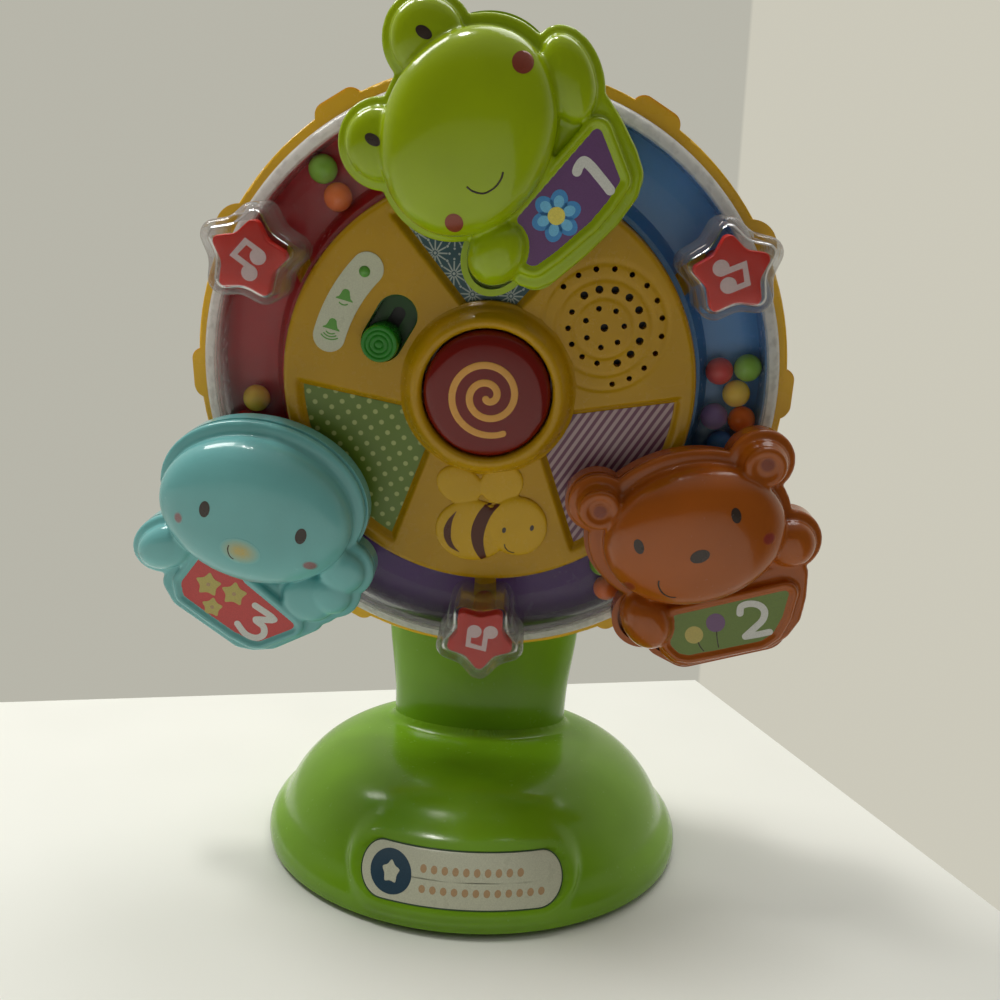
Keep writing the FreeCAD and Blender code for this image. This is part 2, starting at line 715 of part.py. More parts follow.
# ---- axle and keeper, fixed to the neck ----
axle_len = "drum_back + neck_gap + axle_end - bush_front + end_play"
axle_low = "0 - drum_back - neck_gap - axle_end"
axle_rod = cylinder("AxleRod", "axle_r", axle_len, (0, 0, axle_low))
axle_tap = cylinder("AxleTap", "screw_shank_r", "screw_len", (0, 0, "end_play - bush_front - screw_len"))
keep(cut("Axle", axle_rod, [axle_tap]), "axle")
keeper_disc = cylinder("KeeperDisc", "keeper_r", "keeper_t", (0, 0, "end_play - bush_front"))
keeper_hole = cylinder("KeeperHole", "screw_shank_r", "keeper_t", (0, 0, "end_play - bush_front"))
keep(cut("Keeper", keeper_disc, [keeper_hole]), "axle_keeper")
screw_head = cylinder("AxleScrewHead", "screw_head_r", "screw_head_h", (0, 0, "end_play - bush_front + keeper_t"))
shank_low = "end_play - bush_front - screw_len"
screw_rod = cylinder("AxleScrewRod", "screw_shank_r", "screw_len + keeper_t", (0, 0, shank_low))
keep(fuse("AxleScrew", [screw_head, screw_rod]), "axle_screw")
spacer_low = "0 - drum_back - neck_gap"
spacer_out = cylinder("SpacerOut", "axle_r + bush_wall", "neck_gap - end_play", (0, 0, spacer_low))
spacer_in = cylinder("SpacerIn", "axle_r", "neck_gap - end_play", (0, 0, spacer_low))
keep(cut("AxleSpacer", spacer_out, [spacer_in]), "axle_spacer")

# ---- wheel: bush and back shell ----
bush_len = "drum_back - bush_front"
bush_out = cylinder("BushOut", "axle_r + axle_play + bush_wall", bush_len, (0, 0, "0 - drum_back"))
bush_in = cylinder("BushIn", "axle_r + axle_play", bush_len, (0, 0, "0 - drum_back"))
keep(cut("Bush", bush_out, [bush_in]), "wheel_bush")
bore = "axle_r + axle_play + bush_wall"
SHELL = [
    ("cover_out + rim_gap", "0 - rim_front"),
    ("rim_r", "0 - rim_front"),
    ("rim_r", "0 - rim_front - rim_band"),
    ("shell_back_r", "0 - floor_w - shell_wall"),
    ("drum_r + shell_wall", "0 - floor_w - shell_wall"),
    ("drum_r", "0 - floor_w - shell_wall * 2"),
    ("drum_r", "0 - drum_back"),
    (bore, "0 - drum_back"),
    (bore, "0 - bush_front"),
    (bore + " + hub_boss_wall", "0 - bush_front"),
    (bore + " + hub_boss_wall", "shell_wall - drum_back"),
    ("drum_r - shell_wall", "shell_wall - drum_back"),
    ("drum_r - shell_wall", "0 - floor_w"),
    ("cover_out + rim_gap", "0 - floor_w"),
]
bowl = turned("BowlTurned", SHELL)
round_edges(bowl, "BowlSoft", [("rim_r", "0 - rim_front"), ("rim_r", "0 - rim_front - rim_band")], "tab_ridge")
round_edges(bowl, "DrumSoft", [("drum_r", "0 - drum_back")], "shell_wall")
grips = []
tab_z = "0 - rim_front - tab_deep"
for k in range(6):
    deep = val("tab_deep")
    low = num(tab_z)
    for share, reach in ((1.0, 0.0), (0.5, val("tab_ridge"))):
        half = val("tab_wide") / 2
        inner, outer = val("rim_r") - val("tab_root"), val("tab_reach") + reach
        corners = [(inner, -half), (inner, half), (outer, half), (outer, -half)]
        lug = slab(rounded_face(corners, val("tab_round"), 0.0), low + deep * (1 - share) / 2, low + deep * (1 + share) / 2)
        lug.rotate(vec(0, 0, 0), vec(0, 0, 1), 60.0 * k + val("ring_turn"))
        grips.append(fixed("Tab%d_%d" % (k, round(share * 2)), lug))
for k, angle in enumerate((30.0, 150.0, 270.0)):
    spot = polar(val("knuckle_at"), angle + val("ring_turn"))
    grips.append(cylinder("Knuckle%d" % k, "knuckle_r", "tab_deep", (spot[0], spot[1], tab_z)))
mouth = cylinder("ShellMouth", "cover_out + rim_gap", "floor_w", (0, 0, "0 - floor_w"))
hatch_at = ("0 - door_wide / 2", "0 - cell_y - door_high / 2", "0 - drum_back")
hatch = box("Hatch", ("door_wide", "door_high", "shell_wall"), hatch_at)
keep(cut("BackShell", fuse("BowlGrips", [bowl] + grips), [mouth, hatch]), "back_shell")

# ---- battery bay behind the wheel ----
door_at = ("door_gap - door_wide / 2", "door_gap - cell_y - door_high / 2", "0 - drum_back")
door_flat = box("DoorFlat", ("door_wide - door_gap * 2", "door_high - door_gap * 2", "shell_wall"), door_at)
door_hole = cylinder("DoorHole", "screw_head_r", "shell_wall", (0, "0 - cell_y", "0 - drum_back"))
keep(cut("BatteryDoor", door_flat, [door_hole]), "battery_door")
keep(cylinder("DoorScrew", "screw_head_r", "shell_wall", (0, "0 - cell_y", "0 - drum_back")), "door_screw")
bay_deep = "cell_r * 2 + door_gap * 2 + bay_wall"
bay_z = "shell_wall - drum_back"
bay_x = "cell_len / 2 + cell_gap * 3"
bay_y = "cell_r * 2 + cell_gap"
bay_out_at = ("0 - (%s) - bay_wall" % bay_x, "0 - cell_y - (%s) - bay_wall" % bay_y, bay_z)
bay_out = box("BayOut", ("(%s + bay_wall) * 2" % bay_x, "(%s + bay_wall) * 2" % bay_y, bay_deep), bay_out_at)
bay_in_at = ("0 - (%s)" % bay_x, "0 - cell_y - (%s)" % bay_y, bay_z)
bay_in = box("BayIn", ("(%s) * 2" % bay_x, "(%s) * 2" % bay_y, "cell_r * 2 + door_gap * 2"), bay_in_at)
keep(cut("BatteryBox", bay_out, [bay_in]), "battery_box")
cells = []
contacts = []
cell_w = num("shell_wall - drum_back + door_gap + cell_r")
for k in (-1, 1):
    y = -val("cell_y") + k * num("cell_r + cell_gap / 2")
    cells.append(Part.makeCylinder(val("cell_r"), val("cell_len"), vec(-val("cell_len") / 2, y, cell_w), vec(1, 0, 0)))
    for side in (-1, 1):
        start = vec(side * val("cell_len") / 2, y, cell_w)
        contacts.append(Part.makeCylinder(val("cell_r") / 2, val("cell_gap") * 3, start, vec(side, 0, 0)))
keep(fixed("Cells", Part.makeCompound(cells)), "battery_cells")
keep(fixed("Contacts", Part.makeCompound(contacts)), "battery_contacts")

# ---- bead track in three coloured segments ----
TRACK = [
    ("track_in", "0 - track_in_w"),
    ("track_foot", "track_wall - floor_w"),
    ("track_out", "track_wall - floor_w"),
    ("track_out", "0 - track_out_w"),
    ("track_out + track_wall", "0 - track_out_w"),
    ("track_out + track_wall", "0 - floor_w"),
    ("track_foot - track_wall", "0 - floor_w"),
    ("track_in - track_wall", "0 - track_in_w"),
]
for label, middle_angle in (("track_blue", 30.0), ("track_red", 150.0), ("track_purple", 270.0)):
    piece = turned("Seg" + label[6:], TRACK)
    spin = piece.Tip
    spin.setExpression("Angle", "120 - 2 * Dims.track_gap")
    doc.recompute()
    centre = spin.Shape.CenterOfMass
    turn = middle_angle - math.degrees(math.atan2(centre.y, centre.x))
    keep(piece, label, place=WHEEL.multiply(Placement(vec(0, 0, 0), Rotation(vec(0, 0, 1), turn))))

# ---- clear cover with three hollow stars ----
foot_w = "rim_gap - track_in_w"
COVER = [
    ("cover_in", foot_w),
    ("cover_in + cover_wall", foot_w),
    ("cover_slope_r + cover_wall / 2", "0 - cover_slope_w - cover_wall"),
    ("cover_shoulder_r - cover_wall / 2", "0 - cover_shoulder_w - cover_wall"),
    ("cover_out - cover_wall", "0 - cover_side_w - cover_wall / 2"),
    ("cover_out - cover_wall", "0 - cover_foot_w"),
    ("cover_out", "0 - cover_foot_w"),
    ("cover_out", "0 - cover_side_w"),
    ("cover_shoulder_r", "0 - cover_shoulder_w"),
    ("cover_slope_r", "0 - cover_slope_w"),
    ("cover_in", "0 - cover_in_w"),
]
COVER_ARCS = {
    2: ("cover_crown - cover_wall", 1),
    7: ("cover_corner", -1),
    8: ("cover_crown", -1),
}
cover = turned("CoverTurned", COVER, COVER_ARCS)
doc.recompute()
star_out = []
star_in = []
for k, angle in enumerate([spot + val("ring_turn") for spot in (30.0, 150.0, 270.0)]):
    cx, cy = polar(val("star_at"), angle)
    big = star_face(val("star_tip"), val("star_dip"), val("star_round"), cx, cy, angle)
    wall = val("cover_wall")
    small = star_face(val("star_tip") - wall, val("star_dip") - wall, val("star_round") - wall, cx, cy, angle)
    upper = slab(big, -val("star_inner_w"), val("star_top"))
    lower = slab(big, -val("star_skirt"), -val("star_inner_w"))
    lower = lower.cut(Part.makeCylinder(val("cover_out") - wall, 60, vec(0, 0, -30)))
    star_out.append(fixed("StarOut%d" % k, upper.fuse(lower).removeSplitter()))
    star_in.append(fixed("StarIn%d" % k, slab(small, -val("star_skirt") - 1, val("star_top") - wall)))
pin_holes = []
for k, angle in enumerate((90.0, 210.0, 330.0)):
    spot = polar(val("pivot_at"), angle)
    pin_holes.append(cylinder("CoverPinHole%d" % k, "pivot_r + rim_gap", "floor_w", (spot[0], spot[1], "0 - floor_w / 2")))
keep(cut("ClearCover", fuse("CoverStars", [cover] + star_out), star_in + pin_holes), "clear_cover")
for label, middle_angle in (("star_insert_right", 30.0), ("star_insert_left", 150.0), ("star_insert_bottom", 270.0)):
    angle = middle_angle + val("ring_turn")
    cx, cy = polar(val("star_at"), angle)
    face = star_face(val("insert_tip"), val("insert_dip"), val("insert_round"), cx, cy, angle)
    top = val("star_top") - val("cover_wall") - val("insert_gap")
    tile = slab(face, top - val("insert_thick"), top)
    stem_low = num("track_wall - floor_w")
    stem = Part.makeCylinder(val("insert_stem"), top - val("insert_thick") - stem_low, vec(cx, cy, stem_low))
    keep(fixed("Insert%d" % angle, tile.fuse(stem).removeSplitter()), label)

# ---- centre panel ----
under = "0 - panel_floor - panel_thick"
PANEL = [
    ("hub_in", "panel_rise"),
    ("panel_r", "panel_rise"),
    ("panel_r", "0 - floor_w"),
    ("panel_r - panel_skirt", "0 - floor_w"),
    ("panel_r - panel_skirt", under),
    ("hub_in", under),
]
panel = turned("PanelTurned", PANEL)
posts = []
for k in range(3):
    spot = polar(val("post_at"), 60 + 120 * k)
    post_low = "board_t - board_w"
    post_high = "0 - panel_floor - panel_thick / 2 - board_t + board_w"
    posts.append(cylinder("Post%d" % k, "post_r", post_high, (spot[0], spot[1], post_low)))
round_edges(panel, "PanelSoft", [("panel_r", "panel_rise")], "panel_fillet")


def petal_face(angle, grow):
    spots = []
    for along, half in ((val("petal_root"), val("petal_root_half")), (val("petal_end"), val("petal_end_half"))):
        spots.append((along, half + grow))
    shape = [(spots[0][0], spots[0][1]), (spots[1][0], spots[1][1]), (spots[1][0], -spots[1][1]), (spots[0][0], -spots[0][1])]
    cos, sin = math.cos(math.radians(angle)), math.sin(math.radians(angle))
    ring = [vec(x * cos - y * sin, x * sin + y * cos) for x, y in shape]
    return Part.Face(Part.makePolygon(ring + [ring[0]]))


def sector_slab(low, high, grow):
    outer = Part.makeCylinder(val("panel_r") - val("panel_lip") - grow, high - low, vec(0, 0, low))
    shape = outer.cut(Part.makeCylinder(val("hub_out") + grow, high - low, vec(0, 0, low)))
    for angle in (30.0, 150.0, 270.0):
        shape = shape.cut(slab(petal_face(angle, grow), low, high))
    return shape


recess = fixed("Recess", sector_slab(-val("panel_floor"), val("panel_rise") + 3, 0.0))
sound = []
sx, sy = polar(val("speaker_at"), val("speaker_turn"))
sound.append(cylinder("SoundCentre", "hole_large", "panel_thick + panel_floor + panel_rise", (sx, sy, under)))
for reach, start, step, count, large in HOLES:
    for k in range(count):
        hx, hy = polar(reach, start + step * k)
        size = "hole_large" if large else "hole_small"
        spot = (sx + hx, sy + hy, under)
        sound.append(cylinder("Sound%d_%d" % (int(reach), k), size, "panel_thick + panel_floor + panel_rise", spot))
knob_way = Vector(math.cos(math.radians(60)), math.sin(math.radians(60)), 0)
slot_mid = vec(*polar(val("slot_at"), 150.0))
slot_low = slot_mid - knob_way * (val("slot_travel") / 2)
slot_high = slot_mid + knob_way * (val("slot_travel") / 2)


def stadium_slab(radius, low, high):
    shape = Part.makeCylinder(radius, high - low, slot_low + vec(0, 0, low))
    shape = shape.fuse(Part.makeCylinder(radius, high - low, slot_high + vec(0, 0, low)))
    bar = Part.makeBox(val("slot_travel"), 2 * radius, high - low, vec(0, -radius, low))
    bar.Placement = Placement(slot_low, Rotation(vec(0, 0, 1), 60))
    return shape.fuse(bar).removeSplitter()


slot_cut = fixed("SlotCut", stadium_slab(val("slot_r"), num(under) - 1, val("panel_rise") + 1))
carcass = fuse("PanelPosts", [panel] + posts)
keep(cut("CentrePanel", carcass, [recess, slot_cut] + sound), "centre_panel")
sticker_top = val("sticker_thick") - val("panel_floor")
stickers = sector_slab(-val("panel_floor"), sticker_top, val("sticker_gap")).Solids
for label, angle in (("sticker_blue", 90.0), ("sticker_green", 210.0), ("sticker_purple", 330.0)):
    aim = vec(*polar(1.0, angle))
    best = max(stickers, key=lambda solid: solid.CenterOfMass.dot(aim))
    keep(fixed("Print" + label[8:], best), label)
HUB = [
    ("hub_in", "panel_rise"),
    ("hub_out", "panel_rise"),
    ("hub_crest + hub_crest_half", "hub_top"),
    ("hub_crest - hub_crest_half", "hub_top"),
    ("hub_in", "hub_top - hub_crest_half * 2"),
]
keep(turned("HubRing", HUB), "hub_ring")

# ---- light button, board and contact switch ----
lip_top = under + " - rim_gap"
BUTTON = [
    ("0", "button_top"),
    ("0", "key_h + button_travel + door_gap - board_w + board_t"),
    ("button_stem", "key_h + button_travel + door_gap - board_w + board_t"),
    ("button_stem", "button_edge - button_wall"),
    ("button_r - button_wall", "button_edge - button_wall"),
    ("button_r - button_wall", lip_top + " - button_lip_t"),
    ("button_lip", lip_top + " - button_lip_t"),
    ("button_lip", lip_top),
    ("button_r", lip_top),
    ("button_r", "button_edge"),
]
keep(turned("LightButton", BUTTON), "light_button")
board = cylinder("BoardDisc", "board_r", "board_t", (0, 0, "0 - board_w"))
lamps = [board]
for k in range(3):
    spot = polar(val("led_at"), 90 + 120 * k)
    lamps.append(cylinder("Lamp%d" % k, "led_r", "led_h", (spot[0], spot[1], "board_t - board_w")))
keep(fuse("Board", lamps), "circuit_board")
keep(cylinder("Key", "key_r", "key_h", (0, 0, "board_t - board_w")), "contact_switch")

# ---- speaker ----
frame = cylinder("SpeakerFrame", "speaker_r", "speaker_flange", (sx, sy, under + " - speaker_flange"))
magnet = cylinder("SpeakerMagnet", "speaker_r / 2", "speaker_deep - speaker_flange", (sx, sy, under + " - speaker_deep"))
keep(fuse("Speaker", [frame, magnet]), "speaker")

# ---- volume slider ----
plate_high = num(under)
plate_low = plate_high - val("slot_plate_t")
slot_plate = stadium_slab(val("slot_r") + val("slot_plate_lip"), plate_low, plate_high)
slot_plate = slot_plate.cut(stadium_slab(val("knob_stem") + val("slit_play"), plate_low - 1, plate_high + 1))
keep(fixed("SlotPlate", slot_plate), "slot_plate")
knob_low = plate_high + val("knob_seat")
knob = Part.makeCylinder(val("knob_r"), val("knob_top") - knob_low, slot_low + vec(0, 0, knob_low))
stem_low = plate_low + val("slit_play")
knob = knob.fuse(Part.makeCylinder(val("knob_stem"), knob_low - stem_low, slot_low + vec(0, 0, stem_low)))
keep(fixed("VolumeKnob", knob.removeSplitter()), "volume_knob")
switch_top = plate_low
switch = Part.makeBox(val("switch_len"), val("switch_wide"), val("switch_deep"))
switch.translate(vec(-val("switch_len") / 2, -val("switch_wide") / 2, switch_top - val("switch_deep")))
switch.Placement = Placement(slot_mid, Rotation(vec(0, 0, 1), 60)).multiply(switch.Placement)
keep(fixed("SlideSwitch", switch), "slide_switch")
scale_in = val("scale_at") - val("scale_half")
scale_out = val("scale_at") + val("scale_half")
scale_low = val("panel_rise")
span = 2 * val("scale_span")
scale = Part.makeCylinder(scale_out, val("scale_thick"), vec(0, 0, scale_low), vec(0, 0, 1), span)
scale = scale.cut(Part.makeCylinder(scale_in, val("scale_thick"), vec(0, 0, scale_low)))
scale.Placement = Placement(vec(0, 0, 0), Rotation(vec(0, 0, 1), 150 - val("scale_span"))).multiply(scale.Placement)
for angle in (150 - val("scale_span"), 150 + val("scale_span")):
    spot = vec(*polar(val("scale_at"), angle)) + vec(0, 0, scale_low)
    scale = scale.fuse(Part.makeCylinder(val("scale_half"), val("scale_thick"), spot))
keep(fixed("VolumeScale", scale.removeSplitter()), "volume_scale")

# ---- bee relief on the lower petal ----
bee_low = val("panel_rise")
bee_high = bee_low + val("bee_rise")
bee = slab(ellipse_face(val("bee_head_x"), val("bee_head_y"), val("bee_head_r"), val("bee_head_r")), bee_low, bee_high)
bee_body = ellipse_face(val("bee_body_x"), val("bee_body_y"), val("bee_body_rx"), val("bee_body_ry"))
bee = bee.fuse(slab(bee_body, bee_low, bee_high - 0.3))
for side in (-1, 1):
    wing = ellipse_face(val("bee_wing_x") + side * val("bee_wing_gap"), val("bee_wing_y"), val("bee_wing_rx"), val("bee_wing_ry"), 60 * side)
    bee = bee.fuse(slab(wing, bee_low, bee_high - 0.5))
keep(fixed("Bee", bee.removeSplitter()), "bee_relief")

# ---- animals on their pivots ----
for who, spec in CRITTERS.items():
    seat = vec(*polar(val("pivot_at"), spec["seat"]))
    back = val("critter_back")
    head_top = back + val("critter_wall") + val("end_play") + val("pivot_head_t")
    pin = Part.makeCylinder(val("pivot_r"), head_top + val("floor_w"), seat - vec(0, 0, val("floor_w")))
    collar_low = val("cover_wall") * 0.6
    collar_high = back - val("end_play")
    pin = pin.fuse(Part.makeCylinder(val("pivot_collar_r"), collar_high - collar_low, seat + vec(0, 0, collar_low)))
    head_low = head_top - val("pivot_head_t")
    pin = pin.fuse(Part.makeCylinder(val("pivot_head_r"), val("pivot_head_t"), seat + vec(0, 0, head_low)))
    keep(fixed("Pivot" + who, pin.removeSplitter()), "pivot_" + who)

    hx, hy, hrx, hry = spec["head"]
    sign = spec["sign"]
    round_r = val("sign_round")

    def outline(low, high, grow):
        shape = slab(ellipse_face(hx, hy, hrx + grow, hry + grow), low, high)
        for cx, cy, rx, ry, turn, share in spec["lobes"]:
            shape = shape.fuse(slab(ellipse_face(cx, cy, rx + grow, ry + grow, turn), low, high))
        return shape.fuse(slab(rounded_face(sign, round_r, grow), low, high)).removeSplitter()

    margin = val("critter_margin")
    wall = val("critter_wall")
    split = val("critter_split")
    flange = val("critter_flange")
    bore_r = val("pivot_r") + val("pivot_play")
    rear = outline(back, split, margin).cut(outline(back + wall, split, margin - wall))
    rear = rear.cut(Part.makeCylinder(bore_r, wall, vec(0, 0, back)))
    frame_top = flange + val("sign_rise")
    frame = slab(rounded_face(sign, round_r, 0.0), split, frame_top)
    print_face = rounded_face(sign, round_r, -val("sign_edge"))
    print_high = frame_top - val("sign_sink")
    print_low = print_high - val("sign_thick")
    frame = frame.cut(slab(print_face, print_low, frame_top + 1))
    dome_low = flange + val("head_side")
    crown = ellipsoid(hx, hy, dome_low, hrx, hry, val("head_dome"))
    crown = crown.common(Part.makeBox(200, 200, 100, vec(-100, -100, dome_low)))
    raised = slab(ellipse_face(hx, hy, hrx, hry), split, dome_low).fuse(crown)
    for cx, cy, rx, ry, turn, share in spec["lobes"]:
        lobe = ellipsoid(cx, cy, flange, rx, ry, val("lobe_dome") * share, turn)
        raised = raised.fuse(lobe.common(Part.makeBox(200, 200, 100, vec(-100, -100, flange))))
    front = outline(split, flange, margin).fuse([frame, raised])
    core = outline(split, flange - wall, margin - wall)
    inner = ellipsoid(hx, hy, dome_low, hrx - wall, hry - wall, val("head_dome") - wall)
    inner = inner.common(Part.makeBox(200, 200, 100, vec(-100, -100, dome_low)))
    core = core.fuse(slab(ellipse_face(hx, hy, hrx - wall, hry - wall), split, dome_low).fuse(inner))
    front = front.cut(core).removeSplitter()
    label = slab(print_face, print_low, print_high).cut(front)
    label = max(label.Solids, key=lambda solid: solid.Volume)
    spot = WHEEL.multiply(Placement(seat, Rotation(vec(0, 0, 1), spec["turn"])))
    keep(fixed(who + "Front", front), who + "_front", place=spot)
    keep(fixed(who + "Rear", rear), who + "_back", place=spot)
    keep(fixed(who + "Sign", label), who + "_sign", place=spot)

# ---- loose beads ----
lane_in = num("track_foot + bead_r - bead_inset")
lane_out = num("track_out - bead_r - bead_play")
bead_z = num("track_wall - floor_w + bead_r + bead_play")
for label, spots in BEADS.items():
    balls = []
    for across, angle in spots:
        x, y = polar(lane_in + across * (lane_out - lane_in), angle)
        balls.append(Part.makeSphere(val("bead_r"), vec(x, y, bead_z)))
    keep(fixed(label.title().replace("_", ""), Part.makeCompound(balls)), label)

doc.recompute()
for obj in doc.Objects:
    if "Invalid" in obj.State or "Error" in obj.State:
        raise RuntimeError("failed object " + obj.Name)
for label, obj in NODES:
    if obj.Shape.isNull() or not obj.Shape.isValid():
        raise RuntimeError("bad shape " + label)
    if obj.Shape.Volume <= 0:
        raise RuntimeError("empty shape " + label)
for label, obj in NODES:
    obj.Shape.exportStep("parts/" + label + ".step")
    solids = len(obj.Shape.Solids)
    print("%-20s solids %d volume %.0f" % (label, solids, obj.Shape.Volume))
print("nodes", len(NODES))
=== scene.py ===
import json
import math

import bmesh
import bpy
import numpy as np
from mathutils import Matrix, Vector
from mathutils.bvhtree import BVHTree


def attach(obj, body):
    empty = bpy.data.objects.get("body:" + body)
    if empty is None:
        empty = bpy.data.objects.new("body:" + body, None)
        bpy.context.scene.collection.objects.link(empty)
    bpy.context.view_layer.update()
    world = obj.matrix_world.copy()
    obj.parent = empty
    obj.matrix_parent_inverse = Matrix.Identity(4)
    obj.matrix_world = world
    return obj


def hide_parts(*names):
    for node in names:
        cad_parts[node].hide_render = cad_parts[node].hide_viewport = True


# Suction spinner toy. Lengths below are in mm in the wheel's own plane, unless a line says otherwise:
# u to the right, v up the wheel, w out of the wheel towards the viewer.

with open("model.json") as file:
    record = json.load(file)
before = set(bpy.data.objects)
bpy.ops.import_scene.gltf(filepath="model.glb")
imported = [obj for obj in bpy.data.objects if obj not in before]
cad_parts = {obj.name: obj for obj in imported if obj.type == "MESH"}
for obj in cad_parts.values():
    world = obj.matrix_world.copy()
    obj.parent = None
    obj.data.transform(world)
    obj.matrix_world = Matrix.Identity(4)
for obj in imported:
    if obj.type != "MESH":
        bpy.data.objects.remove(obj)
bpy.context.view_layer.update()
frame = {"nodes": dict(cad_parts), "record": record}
NODES = frame["nodes"]

MM = 0.001
LEAN = math.radians(12.0)
AHEAD, HIGH = 48.4, 172.0
WHEEL = Matrix.Translation((0, -AHEAD * MM, HIGH * MM)) @ Matrix.Rotation(math.radians(90) + LEAN, 4, "X")
WHEEL = WHEEL @ Matrix.Scale(MM, 4)
STAND = Matrix.Scale(MM, 4)  # the stand keeps the frame's own x, y and z, in mm


# ---- materials ----
class Graph:
    """Small helper that writes shader nodes for one material, or for the world."""

    def __init__(self, name, world=None):
        self.mat = world or bpy.data.materials.new(name)
        self.mat.use_nodes = True
        self.tree = self.mat.node_tree
        self.shader = self.tree.nodes.get("Principled BSDF")
        self.coord = self.node("TexCoord").outputs["Generated" if world else "Object"]

    def link(self, a, b):
        self.tree.links.new(a, b)

    def feed(self, socket, value):
        if isinstance(value, bpy.types.NodeSocket):
            self.link(value, socket)
        else:
            socket.default_value = value

    def node(self, kind, **values):
        """New node with its inputs set to numbers or linked to sockets."""
        node = self.tree.nodes.new("ShaderNode" + kind)
        for key, value in values.items():
            self.feed(node.inputs[key.replace("_", " ")], value)
        return node

    def math(self, kind, a, b=0.0, clamp=False):
        node = self.node("Math")
        node.operation, node.use_clamp = kind, clamp
        self.feed(node.inputs[0], a)
        self.feed(node.inputs[1], b)
        return node.outputs[0]

    def noise(self, scale, detail, rough=0.5):
        return self.node("TexNoise", Scale=scale, Detail=detail, Roughness=rough, Vector=self.coord).outputs["Fac"]

    def spread(self, value, low, high, to_low=0.0, to_high=1.0):
        node = self.node("MapRange", Value=value, From_Min=low, From_Max=high, To_Min=to_low, To_Max=to_high)
        node.clamp = True
        return node.outputs[0]

    def cloud(self, scale, detail, low, high, to_low=0.0, to_high=1.0, rough=0.5):
        """Noise between low and high, spread over a range of its own."""
        return self.spread(self.noise(scale, detail, rough), low, high, to_low, to_high)

    def mix(self, factor, a, b):
        node = self.node("Mix")
        node.data_type = "RGBA"
        self.feed(node.inputs[0], factor)
        for socket, colour in ((6, a), (7, b)):
            self.feed(node.inputs[socket], colour if isinstance(colour, bpy.types.NodeSocket) else (*colour, 1))
        return node.outputs[2]

    def plane(self):
        """Object coordinates turned into the wheel's plane, in mm."""
        turn = -(math.radians(90) + LEAN)
        shift = Matrix.Rotation(turn, 3, "X") @ Vector((0, -AHEAD, HIGH))
        node = self.node("Mapping", Scale=(1000, 1000, 1000), Rotation=(turn, 0, 0), Location=-shift, Vector=self.coord)
        split = self.node("SeparateXYZ", Vector=node.outputs[0])
        return split.outputs[0], split.outputs[1]

    def turned(self, u, v, turn, sizes=(1.0, 1.0)):
        """u and v turned by an angle in degrees and measured in the two sizes."""
        (c, s), (one, two) = polar(1.0, turn), sizes
        times = [self.math("MULTIPLY", x, k) for x, k in ((u, c / one), (v, s / one), (v, c / two), (u, s / two))]
        return self.math("ADD", *times[:2]), self.math("SUBTRACT", *times[2:])

    def bump(self, height, strength):
        bump = self.node("Bump", Strength=strength, Distance=0.0002, Height=height)
        self.link(bump.outputs[0], self.shader.inputs["Normal"])

    def set(self, **values):
        for key, value in values.items():
            self.feed(self.shader.inputs[key.replace("_", " ")], value)
        return self.mat


def polar(radius, angle):
    return radius * math.cos(math.radians(angle)), radius * math.sin(math.radians(angle))


def shade(rgb, k):
    return tuple(min(1.0, c * k) for c in rgb)


def plastic(name, rgb, rough=0.22, glow=0.0, vary=0.1, wear=0.12, coat=0.1, shine=0.3):
    """Moulded glossy plastic: faint cloudiness, soft scuffs in the gloss and a slight orange peel."""
    g = Graph(name)
    tint = g.mix(g.cloud(35, 2, 0.3, 0.7), shade(rgb, 1 - vary), shade(rgb, 1 + vary * 0.6))
    scuff, fog = g.cloud(420, 4, 0.55, 0.75, 0.0, wear, 0.7), g.cloud(60, 3, 0.35, 0.7, rough * 0.8, rough * 1.25)
    gloss = g.math("ADD", scuff, fog)
    g.bump(g.noise(900, 2), 0.06)
    g.set(Base_Color=tint, Roughness=gloss, IOR=1.5, Specular_IOR_Level=shine, Coat_Weight=coat, Coat_Roughness=0.06)
    if glow:
        g.set(Subsurface_Weight=glow, Subsurface_Scale=0.002)
        g.shader.inputs["Subsurface Radius"].default_value = tuple(0.3 + c for c in rgb)
    return g.mat


def metal(name, rgb, rough=0.35):
    g = Graph(name)
    grain = g.noise(800, 3)
    tint = g.mix(grain, shade(rgb, 0.8), rgb)
    g.bump(grain, 0.1)
    return g.set(Base_Color=tint, Roughness=g.spread(grain, 0.3, 0.7, rough * 0.8, rough * 1.3), Metallic=1.0)


CLEAR = (0.985, 0.99, 0.99)
RING_WALL = (89.2, 90.2)  # radii between which the cover turns down into its outer wall


